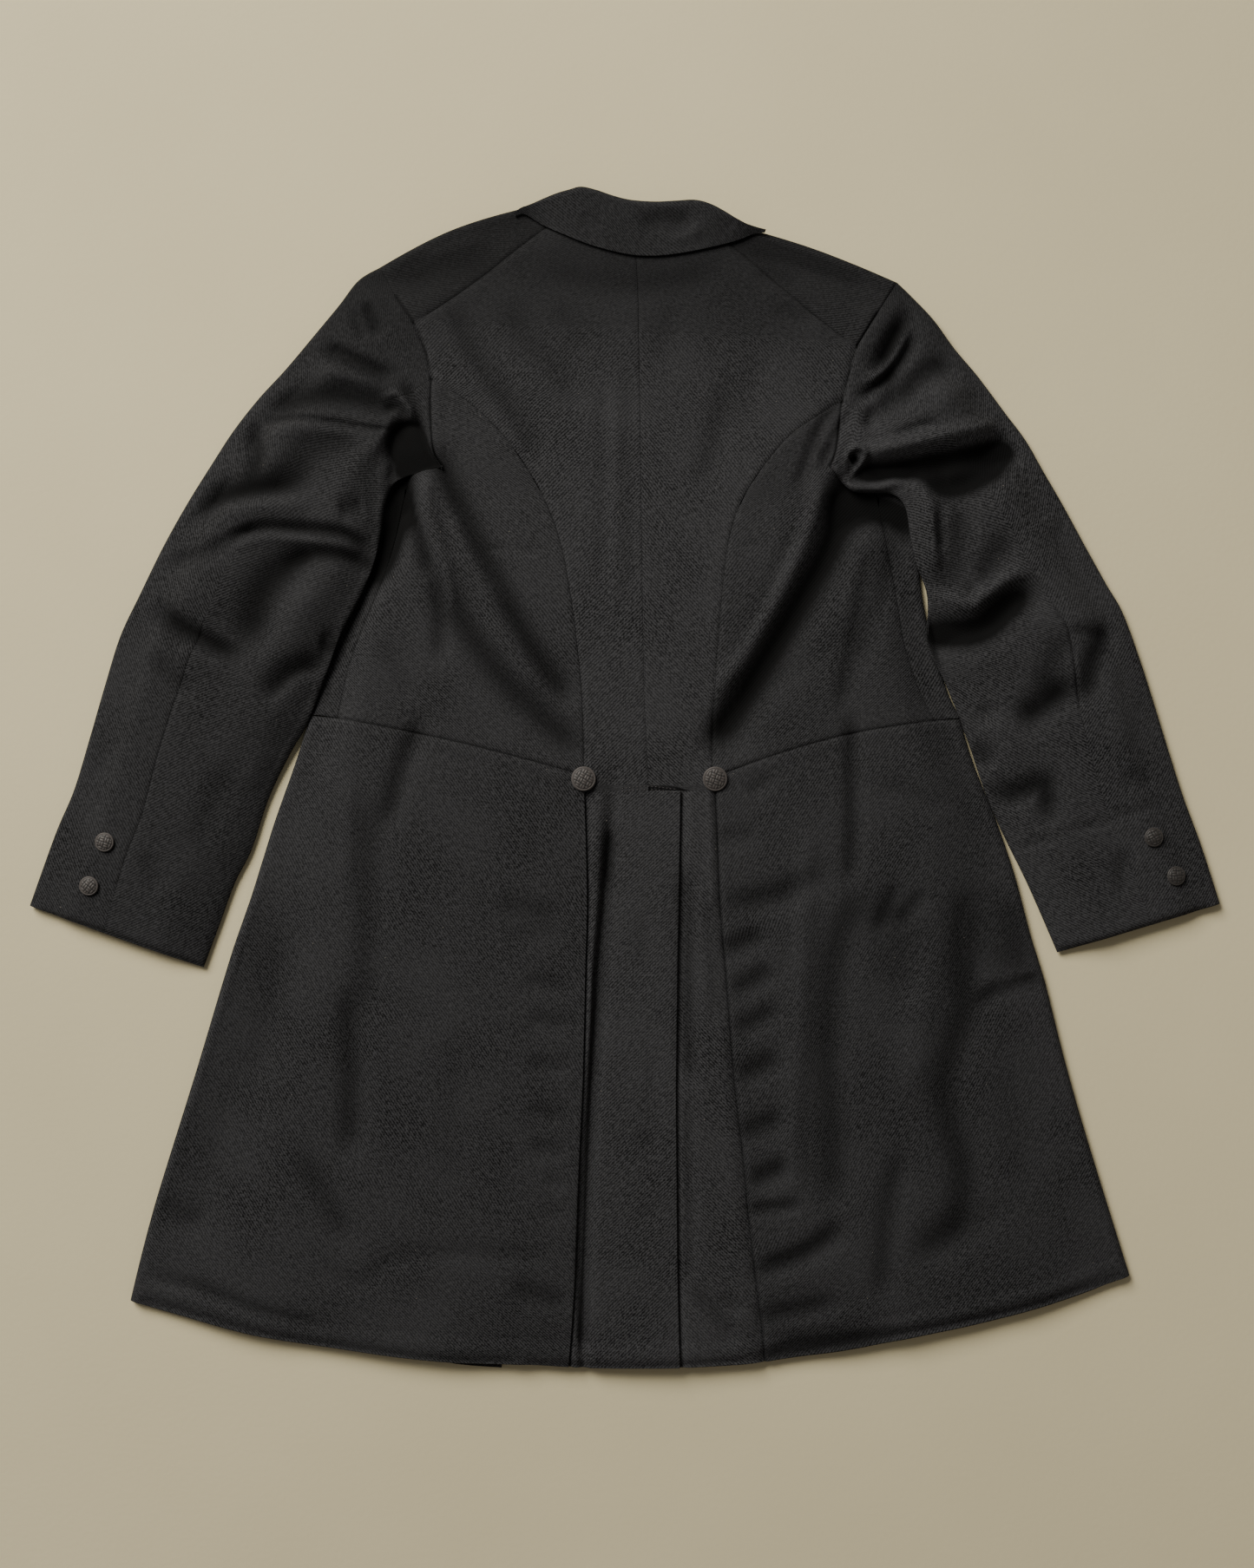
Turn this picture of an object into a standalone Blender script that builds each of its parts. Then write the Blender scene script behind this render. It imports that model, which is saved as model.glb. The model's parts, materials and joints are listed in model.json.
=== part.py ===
# A black wool frock coat laid flat with its back up, sleeves out to both sides.
# Lengths are in millimetres until a mesh is made. X is across, Y runs from hem to collar, Z is up.

import math

import bmesh
import bpy
from mathutils import Vector
from mathutils.bvhtree import BVHTree

MM = 0.001

# Cloth and seams.
CLOTH = 1.6
SEAM_GAP = 0.4
FOLD_REACH = 7.0
EDGE_HIGH = 8.0
TUCKED_HIGH = 6.0
UNDER_STEP = 2.7
PLEAT_UNDER = 17.0

# Buttons.
HIP_BUTTON = 20.5
CUFF_BUTTON = 16.0
BUTTON_SEAT = 0.35

COAT = (0.024, 0.022, 0.023, 1.0)
COLLAR_CLOTH = (0.021, 0.019, 0.020, 1.0)
BUTTON_CLOTH = (0.060, 0.052, 0.047, 1.0)

# Seams shared by two pieces, each as x, y down its line.
SHOULDER = {
    "left": ((-57, 463.5), (-85, 442), (-116, 417.5), (-144, 396.5), (-175, 376.3)),
    "right": ((74, 454), (103, 430.5), (132, 404.5), (162, 379), (192, 356.3)),
}
ARMHOLE = {
    "left": (
        (-204.5, 424.9),
        (-190, 398.8),
        (-175, 376.3),
        (-164.6, 352.4),
        (-160.2, 329.9),
        (-160.8, 312),
        (-160.4, 294),
        (-159.2, 276.5),
        (-156.5, 266),
        (-150.8, 257.4),
    ),
    "right": (
        (226.9, 412.5),
        (209, 384),
        (192, 356.3),
        (185.6, 334),
        (180, 311.5),
        (178.3, 299),
        (177, 287),
        (175.7, 276),
        (173.3, 266),
        (169.7, 257.5),
    ),
}
BACK_SEAM = {
    "left": (
        (-160.2, 329.9),
        (-137.8, 316.8),
        (-117.5, 300.9),
        (-97, 279),
        (-79.5, 254),
        (-66, 229),
        (-54, 197),
        (-45.7, 156.6),
        (-39.8, 113),
        (-35.7, 69.6),
        (-34.4, 33),
        (-34, 1.8),
    ),
    "right": (
        (180, 311.5),
        (160, 300),
        (136, 283),
        (117.5, 261.5),
        (102, 239),
        (91.5, 217),
        (84.8, 190),
        (80.3, 150),
        (76.8, 108),
        (74.2, 69),
        (72.2, 33),
        (72.5, 0.6),
    ),
}
CENTRE_SEAM = (
    (7.6, 450.5),
    (8.8, 436),
    (10.2, 418),
    (11.1, 395),
    (11.6, 367),
    (11.9, 344),
    (12.3, 321),
    (12.5, 307),
    (12.8, 289),
    (13.0, 268),
    (13.3, 247),
    (13.6, 223),
    (14.0, 194),
    (14.5, 153),
    (15.3, 110),
    (16.0, 69),
    (17.6, 33),
    (19.2, 1.0),
)
SIDE_SEAM = {
    "left": (
        (-179, 248.6),
        (-184.5, 228),
        (-191, 198),
        (-204, 157),
        (-221, 116),
        (-230, 90),
        (-235, 68),
        (-238.5, 49.3),
    ),
    "right": (
        (207, 240),
        (212, 222),
        (217.5, 193),
        (225, 153),
        (232, 112),
        (240, 85),
        (249, 63),
        (257.5, 47.2),
    ),
}
SIDE_FOLD = {
    "left": (
        (-188.5, 245.5),
        (-195, 228),
        (-210.5, 198),
        (-225.5, 157),
        (-240.5, 116),
        (-250, 90),
        (-257, 68),
        (-262.4, 51.6),
    ),
    "right": (
        (227, 236),
        (231, 222),
        (236, 193),
        (246.5, 153),
        (251.8, 112),
        (260.5, 85),
        (270.5, 64),
        (279.9, 48.6),
    ),
}
NECK = {
    "left": ((-57, 463.5), (-42, 457), (-26, 453.2), (-9, 451.2), (7.6, 450.5)),
    "right": ((74, 454), (58, 452.3), (42, 450.9), (25, 450.3), (7.6, 450.5)),
}
# The end of each shoulder at the neck, under the collar, as x, y: on the seam, halfway,
# at the top of the shoulder fold, and on the fold.
NECK_END = {
    "left": ((-57.4, 464), (-70, 468), (-81.5, 470.8), (-83, 474.6)),
    "right": ((74.4, 454.5), (86, 454.6), (97.6, 453.4), (100, 458)),
}
SHOULDER_BOW = {"left": 6.0, "right": 3.0}
# The front edge of each front on the ground, as x, y from the neck to the waist.
FRONT_EDGE = {
    "left": (
        (-80.5, 466),
        (-78, 447),
        (-72, 418),
        (-65, 385),
        (-57, 352),
        (-47, 318),
        (-37, 285),
        (-28, 250),
        (-22, 228),
        (-14, 198),
        (-6, 157),
        (-2.5, 116),
        (-2.2, 90),
        (-2.2, 66),
        (-2.2, 42),
    ),
    "right": (
        (96, 450),
        (88, 435),
        (80, 408),
        (72, 377),
        (63, 346),
        (53, 314),
        (42, 283),
        (32, 249),
        (25, 226),
        (17, 196),
        (8, 156),
        (2.8, 115),
        (2.2, 89),
        (2.2, 65),
        (2.2, 42),
    ),
}
# The lower part of the armhole on the front, below the back one, as x, y.
FRONT_SCYE = {
    "left": ((-164.5, 304), (-169.5, 279)),
    "right": ((183.5, 290), (192, 268)),
}
# Each lapel on the ground as rows of roll line x, y and outer edge x, y.
LAPEL = {
    "left": (
        (-76, 436, -128, 438),
        (-72, 418, -136, 419),
        (-65, 385, -124, 380),
        (-57, 352, -110, 343),
        (-47, 318, -94, 306),
        (-37, 285, -77, 271),
        (-28, 250, -59, 237),
        (-21, 224, -45, 212),
        (-14, 195, -30, 187),
        (-8, 168, -14, 165),
    ),
    "right": (
        (87, 426, 134, 424),
        (81, 408, 146, 405),
        (73, 377, 136, 370),
        (64, 346, 120, 336),
        (54, 314, 102, 302),
        (43, 283, 84, 269),
        (33, 249, 65, 236),
        (25, 223, 50, 211),
        (17, 195, 34, 187),
        (10, 168, 16, 165),
    ),
}
LAPEL_LIFT = 2.0

WAIST = {
    "left": (
        (-262.4, 51.6),
        (-238.5, 49.3),
        (-210, 44.2),
        (-177.6, 37.9),
        (-145, 31),
        (-109.5, 22.4),
        (-73, 12.8),
        (-34, 1.8),
    ),
    "right": (
        (72.5, 0.6),
        (84.8, 4.6),
        (108.4, 13.4),
        (137, 22.8),
        (167.8, 31.6),
        (185.6, 36),
        (209.5, 40.6),
        (245.4, 45.8),
        (262, 47.8),
        (279.9, 48.6),
    ),
}
HEM = (
    (-412, -435.5),
    (-359.6, -449.5),
    (-299.4, -464.7),
    (-224, -476.3),
    (-179.1, -482.1),
    (-134, -486),
    (-87, -487.6),
    (-35.2, -490.4),
    (12.3, -490.3),
    (47.1, -489.8),
    (82.4, -488.2),
    (117, -485.6),
    (134.9, -482.5),
    (178.4, -476.3),
    (238.5, -464.3),
    (298.7, -451.9),
    (358.9, -435.7),
    (420.5, -414.7),
)
UNDER_HEM = {
    "left": ((-412, -435.5), (-360, -446), (-300, -460.5), (-224, -473), (-179, -481.5), (-134, -490.5), (-103, -492.4)),
    "right": ((93, -480), (134.9, -478), (178.4, -472), (238.5, -460), (298.7, -448), (358.9, -432.5), (420.5, -414.7)),
}
# Skirts, a row for each section: pleat edge x, y; side fold x, y; front edge x, y.
SKIRT = {
    "left": (
        (-34.6, 1.8, -262.4, 51.6, -2.6, 41.6),
        (-33.7, -12, -267.6, 34, -3.4, 25),
        (-32.4, -50, -277.7, 3.6, -6, -5),
        (-31.3, -105, -292.9, -39.9, -12, -58),
        (-32.6, -155, -311, -97.9, -22, -112),
        (-33.6, -205, -326, -141, -33, -165),
        (-35, -258, -341, -190, -46, -220),
        (-37.5, -312, -356.5, -242, -60, -275),
        (-39.6, -366, -373, -295, -72, -330),
        (-41.6, -418, -391, -353, -84, -385),
        (-44, -456, -403.5, -399.5, -94, -437),
        (-46.8, -489.2, -412, -435.5, -103, -492.4),
    ),
    "right": (
        (73.2, 0.6, 279.9, 48.6, 2.6, 41.6),
        (75.7, -12, 283.4, 34, 3.2, 25),
        (77.5, -50, 293.4, 4, 5.5, -5),
        (79.5, -105, 309, -34.8, 11, -58),
        (83.7, -155, 325, -82, 20, -112),
        (87.7, -205, 338, -131, 30, -165),
        (92, -258, 350, -170, 42, -220),
        (98.4, -312, 364, -226, 55, -275),
        (103.3, -366, 379.5, -282, 67, -330),
        (109.5, -418, 396, -336, 78, -385),
        (114.3, -456, 409.5, -379, 87, -437),
        (117, -485.6, 420.5, -414.7, 93, -480),
    ),
}
# Back skirts below the waist: y; left pleat x; trough x beside it; vent edge x; right pleat x.
BACK_SKIRT = (
    (-11, -33.0, -8.0, 46.2, 74.9),
    (-50, -32.0, -12.3, 45.6, 77.0),
    (-105, -30.9, -17.4, 44.8, 79.1),
    (-155, -32.2, -22.8, 43.8, 83.3),
    (-205, -33.2, -24.6, 43.2, 87.3),
    (-258, -34.6, -27.1, 42.5, 91.6),
    (-312, -37.1, -29.3, 42.8, 98.0),
    (-366, -39.2, -31.2, 43.3, 102.9),
    (-418, -41.2, -33.2, 43.9, 109.1),
    (-456, -43.6, -34.0, 44.8, 113.9),
    (-489.5, -46.4, -34.6, 45.7, 116.6),
)
# Sleeves, a row for each section: outer edge x, y; inner edge x, y; share of the width
# at the hind-arm seam; height; how far the inner edge lies up on the body.
SLEEVE = {
    "left": (
        (-221.9, 414, -160, 262.5, 0.66, 18, 7.5),
        (-238, 393, -172, 264.5, 0.58, 18, 7.5),
        (-258.8, 368.3, -186, 259.5, 0.50, 19, 7.5),
        (-282.8, 340, -196.3, 247, 0.44, 19, 7.5),
        (-305, 316, -198.6, 226, 0.40, 19, 7.5),
        (-326, 289.3, -202.4, 203, 0.37, 19, 7.5),
        (-344.4, 261, -208.8, 176, 0.355, 19, 7.5),
        (-364.7, 228.4, -220, 149, 0.35, 18, 7.5),
        (-385, 192, -236, 118, 0.35, 18, 7.5),
        (-404, 153, -247.2, 87.5, 0.355, 18, 6.5),
        (-420.5, 118, -263, 47, 0.365, 17, 3),
        (-433, 78, -278.5, 20, 0.375, 17, 1),
        (-446, 33, -296.5, -17, 0.385, 16, 0),
        (-459, -10, -311, -60, 0.40, 16, 0),
        (-473, -43, -325, -88, 0.41, 15, 0),
        (-486, -78.5, -337.5, -122, 0.42, 14, 0),
        (-495.9, -106.6, -350.9, -158, 0.43, 13, 0),
    ),
    "right": (
        (238.5, 401, 183, 252, 0.66, 18, 7.5),
        (257, 381, 199, 249, 0.58, 18, 7.5),
        (274.8, 357, 214, 245, 0.50, 19, 7.5),
        (294.4, 334, 226.5, 239.5, 0.46, 19, 7.5),
        (316.8, 304, 234.5, 229, 0.43, 19, 7.5),
        (334, 281, 238.5, 205, 0.40, 19, 5),
        (350, 253, 244.4, 178, 0.38, 19, 3),
        (364.7, 227.7, 252.5, 157, 0.37, 18, 1),
        (383, 194, 254.3, 138, 0.36, 18, 0),
        (400.9, 161.7, 255.3, 110, 0.32, 18, 0),
        (414.7, 137.8, 262.5, 92, 0.31, 18, 0),
        (429, 99, 275, 71, 0.35, 17, 0),
        (439, 68, 289.5, 28, 0.40, 17, 0),
        (451, 29, 304.5, -12, 0.42, 16, 0),
        (465, -15, 321, -48, 0.43, 15, 0),
        (480, -55.8, 339, -90, 0.43, 14, 0),
        (495.9, -105, 360.3, -145.7, 0.43, 13, 0),
    ),
}
# Collar, a row for each section: roll line x, y; edge of the fall x, y.
COLLAR = (
    (-86.5, 473.6, -83.5, 470.2),
    (-81.5, 476.6, -76.5, 467.4),
    (-71, 481.5, -66.5, 461.3),
    (-58.5, 487, -55.5, 456),
    (-47, 490.3, -42, 450.2),
    (-36, 493, -29, 445.3),
    (-21, 489.4, -13, 440.6),
    (-5, 483.8, 1, 437.6),
    (10, 481.4, 12, 436.2),
    (25, 480.4, 27, 436),
    (42, 481.2, 43.5, 437.8),
    (60, 482, 62, 441),
    (74, 477.6, 76, 444.6),
    (88, 469.6, 90, 448.8),
    (99, 462.6, 101, 452.6),
    (111, 456.2, 108, 453.2),
)

# Height of the back above the ground along the coat: y, height.
HOLLOW = ((-492, 13), (-400, 14), (-200, 15), (0, 16), (100, 17), (200, 18), (300, 18), (380, 16), (430, 14), (490, 13))

# The largest folds: start x, y; end x, y; half width; height, less than zero for a trough.
FOLDS = (
    (-249, 361, -184, 334, 10, -3.0),
    (-297, 317, -194, 313, 10, -3.0),
    (-346, 239, -232, 281, 13, -4.0),
    (-216, 183, -313, 136, 13, -4.0),
    (-391, 146, -315, 107, 10, -3.0),
    (-249, 99, -297, 68, 10, -3.0),
    (-346, 194, -226, 199, 9, -2.5),
    (-151, 249, -64, 97, 11, -3.5),
    (-153, 155, -64, 49, 12, -3.0),
    (-142, 382, -51, 236, 13, -2.5),
    (-178, 204, -154, 97, 10, -2.5),
    (173, 254, 83, 76, 12, 4.0),
    (177, 218, 70, 39, 10, -4.0),
    (87, 365, 62, 236, 13, -2.0),
    (190, 32, 171, -352, 13, -3.0),
    (239, 395, 207, 343, 10, -4.0),
    (236, 369, 185, 314, 9, -3.0),
    (191, 249, 311, 288, 11, -4.5),
    (304, 249, 226, 251, 10, -3.5),
    (290, 139, 332, 162, 10, 3.0),
    (259, 110, 334, 149, 9, -4.0),
    (405, 123, 378, 64, 9, -2.5),
    (-180, 29, -199, -27, 11, -2.0),
    (-228, -4, -239, -97, 14, 2.0),
    (-220, -115, -224, -300, 14, -2.5),
    (-269, -323, -228, -381, 11, -2.0),
    (-265, -400, -58, -400, 13, -2.0),
    (282, -115, 271, -348, 13, -2.5),
    (249, -397, 315, -356, 10, -2.5),
    (120, -448, 171, -430, 11, -2.5),
    (216, -323, 208, -448, 11, -2.0),
)


def smooth(share):
    share = min(max(share, 0.0), 1.0)
    return share * share * (3.0 - 2.0 * share)


def flat(point):
    return Vector((point[0], point[1], 0.0))


def dense(points, per):
    """A smooth line through the points, with each stretch between two of them in equal steps."""
    points = [Vector(p) if len(p) == 3 else flat(p) for p in points]
    last = len(points) - 1
    line = []
    for i in range(last):
        start = points[i]
        end = points[i + 1]
        leave = (end - points[max(i - 1, 0)]) / 2
        arrive = (points[min(i + 2, last)] - start) / 2
        for step in range(per):
            t = step / per
            a = 2 * t**3 - 3 * t**2 + 1
            b = t**3 - 2 * t**2 + t
            c = 3 * t**2 - 2 * t**3
            d = t**3 - t**2
            line.append(start * a + leave * b + end * c + arrive * d)
    line.append(points[last])
    return line


def at(line, place):
    index = min(int(place), len(line) - 2)
    return line[index].lerp(line[index + 1], place - index)


def curve(table, x):
    """The second column of a table at a place in its first, with no corners."""
    if x <= table[0][0]:
        return table[0][1]
    if x >= table[-1][0]:
        return table[-1][1]
    i = max(k for k in range(len(table) - 1) if table[k][0] <= x)
    x0, y0 = table[i]
    x1, y1 = table[i + 1]
    slope = (y1 - y0) / (x1 - x0)
    before = table[max(i - 1, 0)]
    after = table[min(i + 2, len(table) - 1)]
    leave = (y1 - before[1]) / (x1 - before[0]) if i else slope
    arrive = (after[1] - y0) / (after[0] - x0)
    t = (x - x0) / (x1 - x0)
    a = 2 * t**3 - 3 * t**2 + 1
    b = (t**3 - 2 * t**2 + t) * (x1 - x0)
    c = 3 * t**2 - 2 * t**3
    d = (t**3 - t**2) * (x1 - x0)
    return y0 * a + leave * b + y1 * c + arrive * d


def beside(line, distance):
    """The line moved sideways, to the left of the way it runs."""
    moved = []
    for i, point in enumerate(line):
        way = line[min(i + 1, len(line) - 1)] - line[max(i - 1, 0)]
        way.normalize()
        moved.append(point + Vector((-way.y, way.x, 0)) * distance)
    return moved


def stretch_distance(x, y, start, end):
    """Distance from a point to a straight stretch, and the share of it passed."""
    run = end[0] - start[0]
    rise = end[1] - start[1]
    share = ((x - start[0]) * run + (y - start[1]) * rise) / (run * run + rise * rise)
    share = min(max(share, 0.0), 1.0)
    return math.hypot(x - start[0] - run * share, y - start[1] - rise * share), share


def fold_height(x, y):
    height = 0.0
    for x0, y0, x1, y1, width, depth in FOLDS:
        if min(x0, x1) - 30 < x < max(x0, x1) + 30 and min(y0, y1) - 30 < y < max(y0, y1) + 30:
            away, share = stretch_distance(x, y, (x0, y0), (x1, y1))
            ends = smooth(share / 0.2 + 0.3) * smooth((1 - share) / 0.2 + 0.3)
            height += depth * ends * math.exp(-((away / width) ** 2))
    return height


def shoulder_fold(side):
    """The folded edge along the shoulder, from the armhole to the neck."""
    outer = flat(ARMHOLE[side][0])
    neck = flat(NECK_END[side][3])
    across = (neck - outer).normalized()
    up = Vector((-across.y, across.x, 0))
    if up.y < 0:
        up = -up
    return [outer.lerp(neck, i / 8) + up * SHOULDER_BOW[side] * math.sin(math.pi * i / 8) for i in range(9)]


def body_outline(side):
    skirt = [(row[2], row[3]) for row in SKIRT[side][1:]]
    shoulder = [(p.x, p.y) for p in shoulder_fold(side)]
    sides = list(SIDE_FOLD[side]) + skirt
    return list(zip(shoulder, shoulder[1:])) + list(zip(sides, sides[1:]))


OUTLINE = body_outline("left") + body_outline("right")


def body_top(x, y):
    """Height of the outside of the coat's body above the ground."""
    away = min(stretch_distance(x, y, a, b)[0] for a, b in OUTLINE)
    tucked = smooth((y - 40) / 40) * smooth((262 - y) / 20) if x < 0 else 0.0
    edge = EDGE_HIGH - (EDGE_HIGH - TUCKED_HIGH) * tucked
    middle = curve(HOLLOW, y)
    hem = smooth((-430 - y) / 60) * 1.8 * math.sin(x / 31.0 + 0.6)
    height = edge + (middle + hem - edge) * smooth((away - FOLD_REACH) / 38)
    height += fold_height(x, y) * smooth((away - 8) / 14)
    return max(height, edge)


def raised(point, height):
    return Vector((point.x, point.y, height))


def half_round(top, outer, bottom, steps):
    """Points round a folded edge between its top and its bottom, without those two."""
    middle = (top.z + bottom.z) / 2
    half = (top.z - bottom.z) / 2
    points = []
    for i in range(1, steps):
        angle = math.pi / 2 - math.pi * i / steps
        inner = top.lerp(bottom, i / steps)
        out = math.cos(angle)
        points.append(
            Vector(
                (
                    inner.x + (outer.x - inner.x) * out,
                    inner.y + (outer.y - inner.y) * out,
                    middle + half * math.sin(angle),
                )
            )
        )
    return points


def material(name, colour, rough):
    made = bpy.data.materials.new(name)
    made.use_nodes = True
    shader = made.node_tree.nodes["Principled BSDF"]
    shader.inputs["Base Color"].default_value = colour
    shader.inputs["Roughness"].default_value = rough
    shader.inputs["Metallic"].default_value = 0.0
    shader.inputs["Sheen Weight"].default_value = 0.2
    made.diffuse_color = colour
    return made


def sheet(name, grid, colour, cells=None, up=True):
    """A piece of cloth over a grid of points on its outside, one wall thick."""
    bm = bmesh.new()
    made = {}

    def vertex(r, c):
        if (r, c) not in made:
            made[r, c] = bm.verts.new(grid[r][c] * MM)
        return made[r, c]

    for r in range(len(grid) - 1):
        for c in range(len(grid[0]) - 1):
            if cells is None or cells(r, c):
                bm.faces.new((vertex(r, c), vertex(r, c + 1), vertex(r + 1, c + 1), vertex(r + 1, c)))
    bm.faces.ensure_lookup_table()
    bm.normal_update()
    if (bm.faces[0].normal.z > 0) != up:
        bmesh.ops.reverse_faces(bm, faces=bm.faces)
    mesh = bpy.data.meshes.new(name)
    bm.to_mesh(mesh)
    OUTSIDES.append(BVHTree.FromBMesh(bm))
    bm.free()
    mesh.shade_smooth()
    mesh.materials.append(material(name, colour, 0.9))
    piece = bpy.data.objects.new(name, mesh)
    bpy.context.collection.objects.link(piece)
    wall = piece.modifiers.new("Cloth", "SOLIDIFY")
    wall.thickness = CLOTH * MM
    wall.offset = -1
    piece.parent = COAT_ROOT
    return piece


def ruled(left, right, shares):
    return [[a.lerp(b, s) for s in shares] for a, b in zip(left, right)]


def bend(grid, edge, reach):
    """Moves the first row onto an edge, and the rows after it less and less."""
    shifts = [e - p for e, p in zip(edge, grid[0])]
    for i in range(reach):
        for c, shift in enumerate(shifts):
            grid[i][c] = grid[i][c] + shift * (1 - i / reach) ** 2


def even(count):
    return [i / count for i in range(count + 1)]


def make_back(side):
    """One back panel with its back skirt."""
    sign = 1 if side == "left" else -1
    outer = dense(SHOULDER[side], 2)
    outer += [flat(p) for p in ARMHOLE[side][3:5]]
    outer += [flat(p) for p in BACK_SEAM[side][1:]]
    centre = dense(CENTRE_SEAM[:5], 2) + [flat(p) for p in CENTRE_SEAM[5:]]
    outer = beside(outer, sign * SEAM_GAP / 2)
    centre = beside(centre, -sign * SEAM_GAP / 2)
    main = ruled(outer, centre, even(8))
    neck = dense(NECK[side], 2)
    bend(main, [p - Vector((0, SEAM_GAP / 2, 0)) for p in neck], 4)
    grid = []
    for row in main:
        top = [raised(p, body_top(p.x, p.y)) for p in row]
        grid.append([top[0]] * 2 + top + [top[-1]] * 2)
    waist = len(grid) - 1
    for y, left, trough, vent, right in BACK_SKIRT:
        if side == "left":
            lines = [left - PLEAT_UNDER, left - 8, left, (left + trough) / 2, trough, trough + 7]
            steps = [-UNDER_STEP, -UNDER_STEP, -UNDER_STEP, -0.2, -2.6, 0.3]
            lines += [trough + 7 + (12.5 - trough) * i / 5 for i in range(1, 6)]
            lines += [(19.5 + vent) / 2, vent]
            steps += [0.3] * 7
        else:
            lines = [right + PLEAT_UNDER, right + 8, right]
            steps = [-UNDER_STEP] * 3
            lines += [right + (vent + 7 - right) * i / 5 for i in range(1, 6)]
            steps += [0.0] * 4 + [-0.4]
            lines += [vent + 0.8, 33, 19.9, 11, 3]
            steps += [-UNDER_STEP] * 5
        row = []
        for x, step in zip(lines, steps):
            place = y if y > -480 else curve(HEM, x)
            row.append(Vector((x, place, body_top(x, place) + step)))
        grid.append(row)
    last = len(grid[0]) - 1

    def cells(r, c):
        return r > waist or 2 <= c < last - 2

    sheet("back_" + side, grid, COAT, cells)


def make_side_back(side):
    """One side body."""
    sign = 1 if side == "left" else -1
    hole = [flat(p) for p in ARMHOLE[side]]
    seam = [flat(p) for p in BACK_SEAM[side]]
    outer = [at(hole, 4.35)] + hole[5:] + [flat(p) for p in SIDE_SEAM[side]]
    inner = [at(seam, 0.35), seam[1], seam[2], seam[3], at(seam, 3.5), seam[4], at(seam, 4.5)] + seam[5:]
    grid = ruled(beside(outer, sign * SEAM_GAP / 2), beside(inner, -sign * SEAM_GAP / 2), even(7))
    edge = [Vector((p.x, curve(WAIST[side], p.x) + SEAM_GAP / 2, 0)) for p in grid[-1]]
    grid.reverse()
    bend(grid, edge, 3)
    grid = [[raised(p, body_top(p.x, p.y)) for p in row] for row in grid]
    sheet("side_back_" + side, grid, COAT)


def scye(side):
    """The armhole as points in space: its top from the neck side of the arm down, its
    folded edge at the shoulder, and its lower layer."""
    line = [flat(p) for p in ARMHOLE[side]]
    inward = (line[1] - line[0]).normalized() * FOLD_REACH
    top = [line[0] + inward] + line[1:]
    top = [raised(p, body_top(p.x, p.y)) for p in top]
    bottom = [raised(top[0], 0)] + [raised(p, 0) for p in line[1:5]]
    return top, half_round(top[0], line[0], bottom[0], 4), bottom


def lapel_lift(side, x, y):
    """How far a front lies up on its lapel."""
    rows = sorted((row[3], row[2]) for row in LAPEL[side])
    away = (x - curve(rows, y)) * (1 if side == "left" else -1)
    return LAPEL_LIFT * smooth((away + 40) / 20) * smooth((y - 130) / 20) if y > 130 else 0.0


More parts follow.
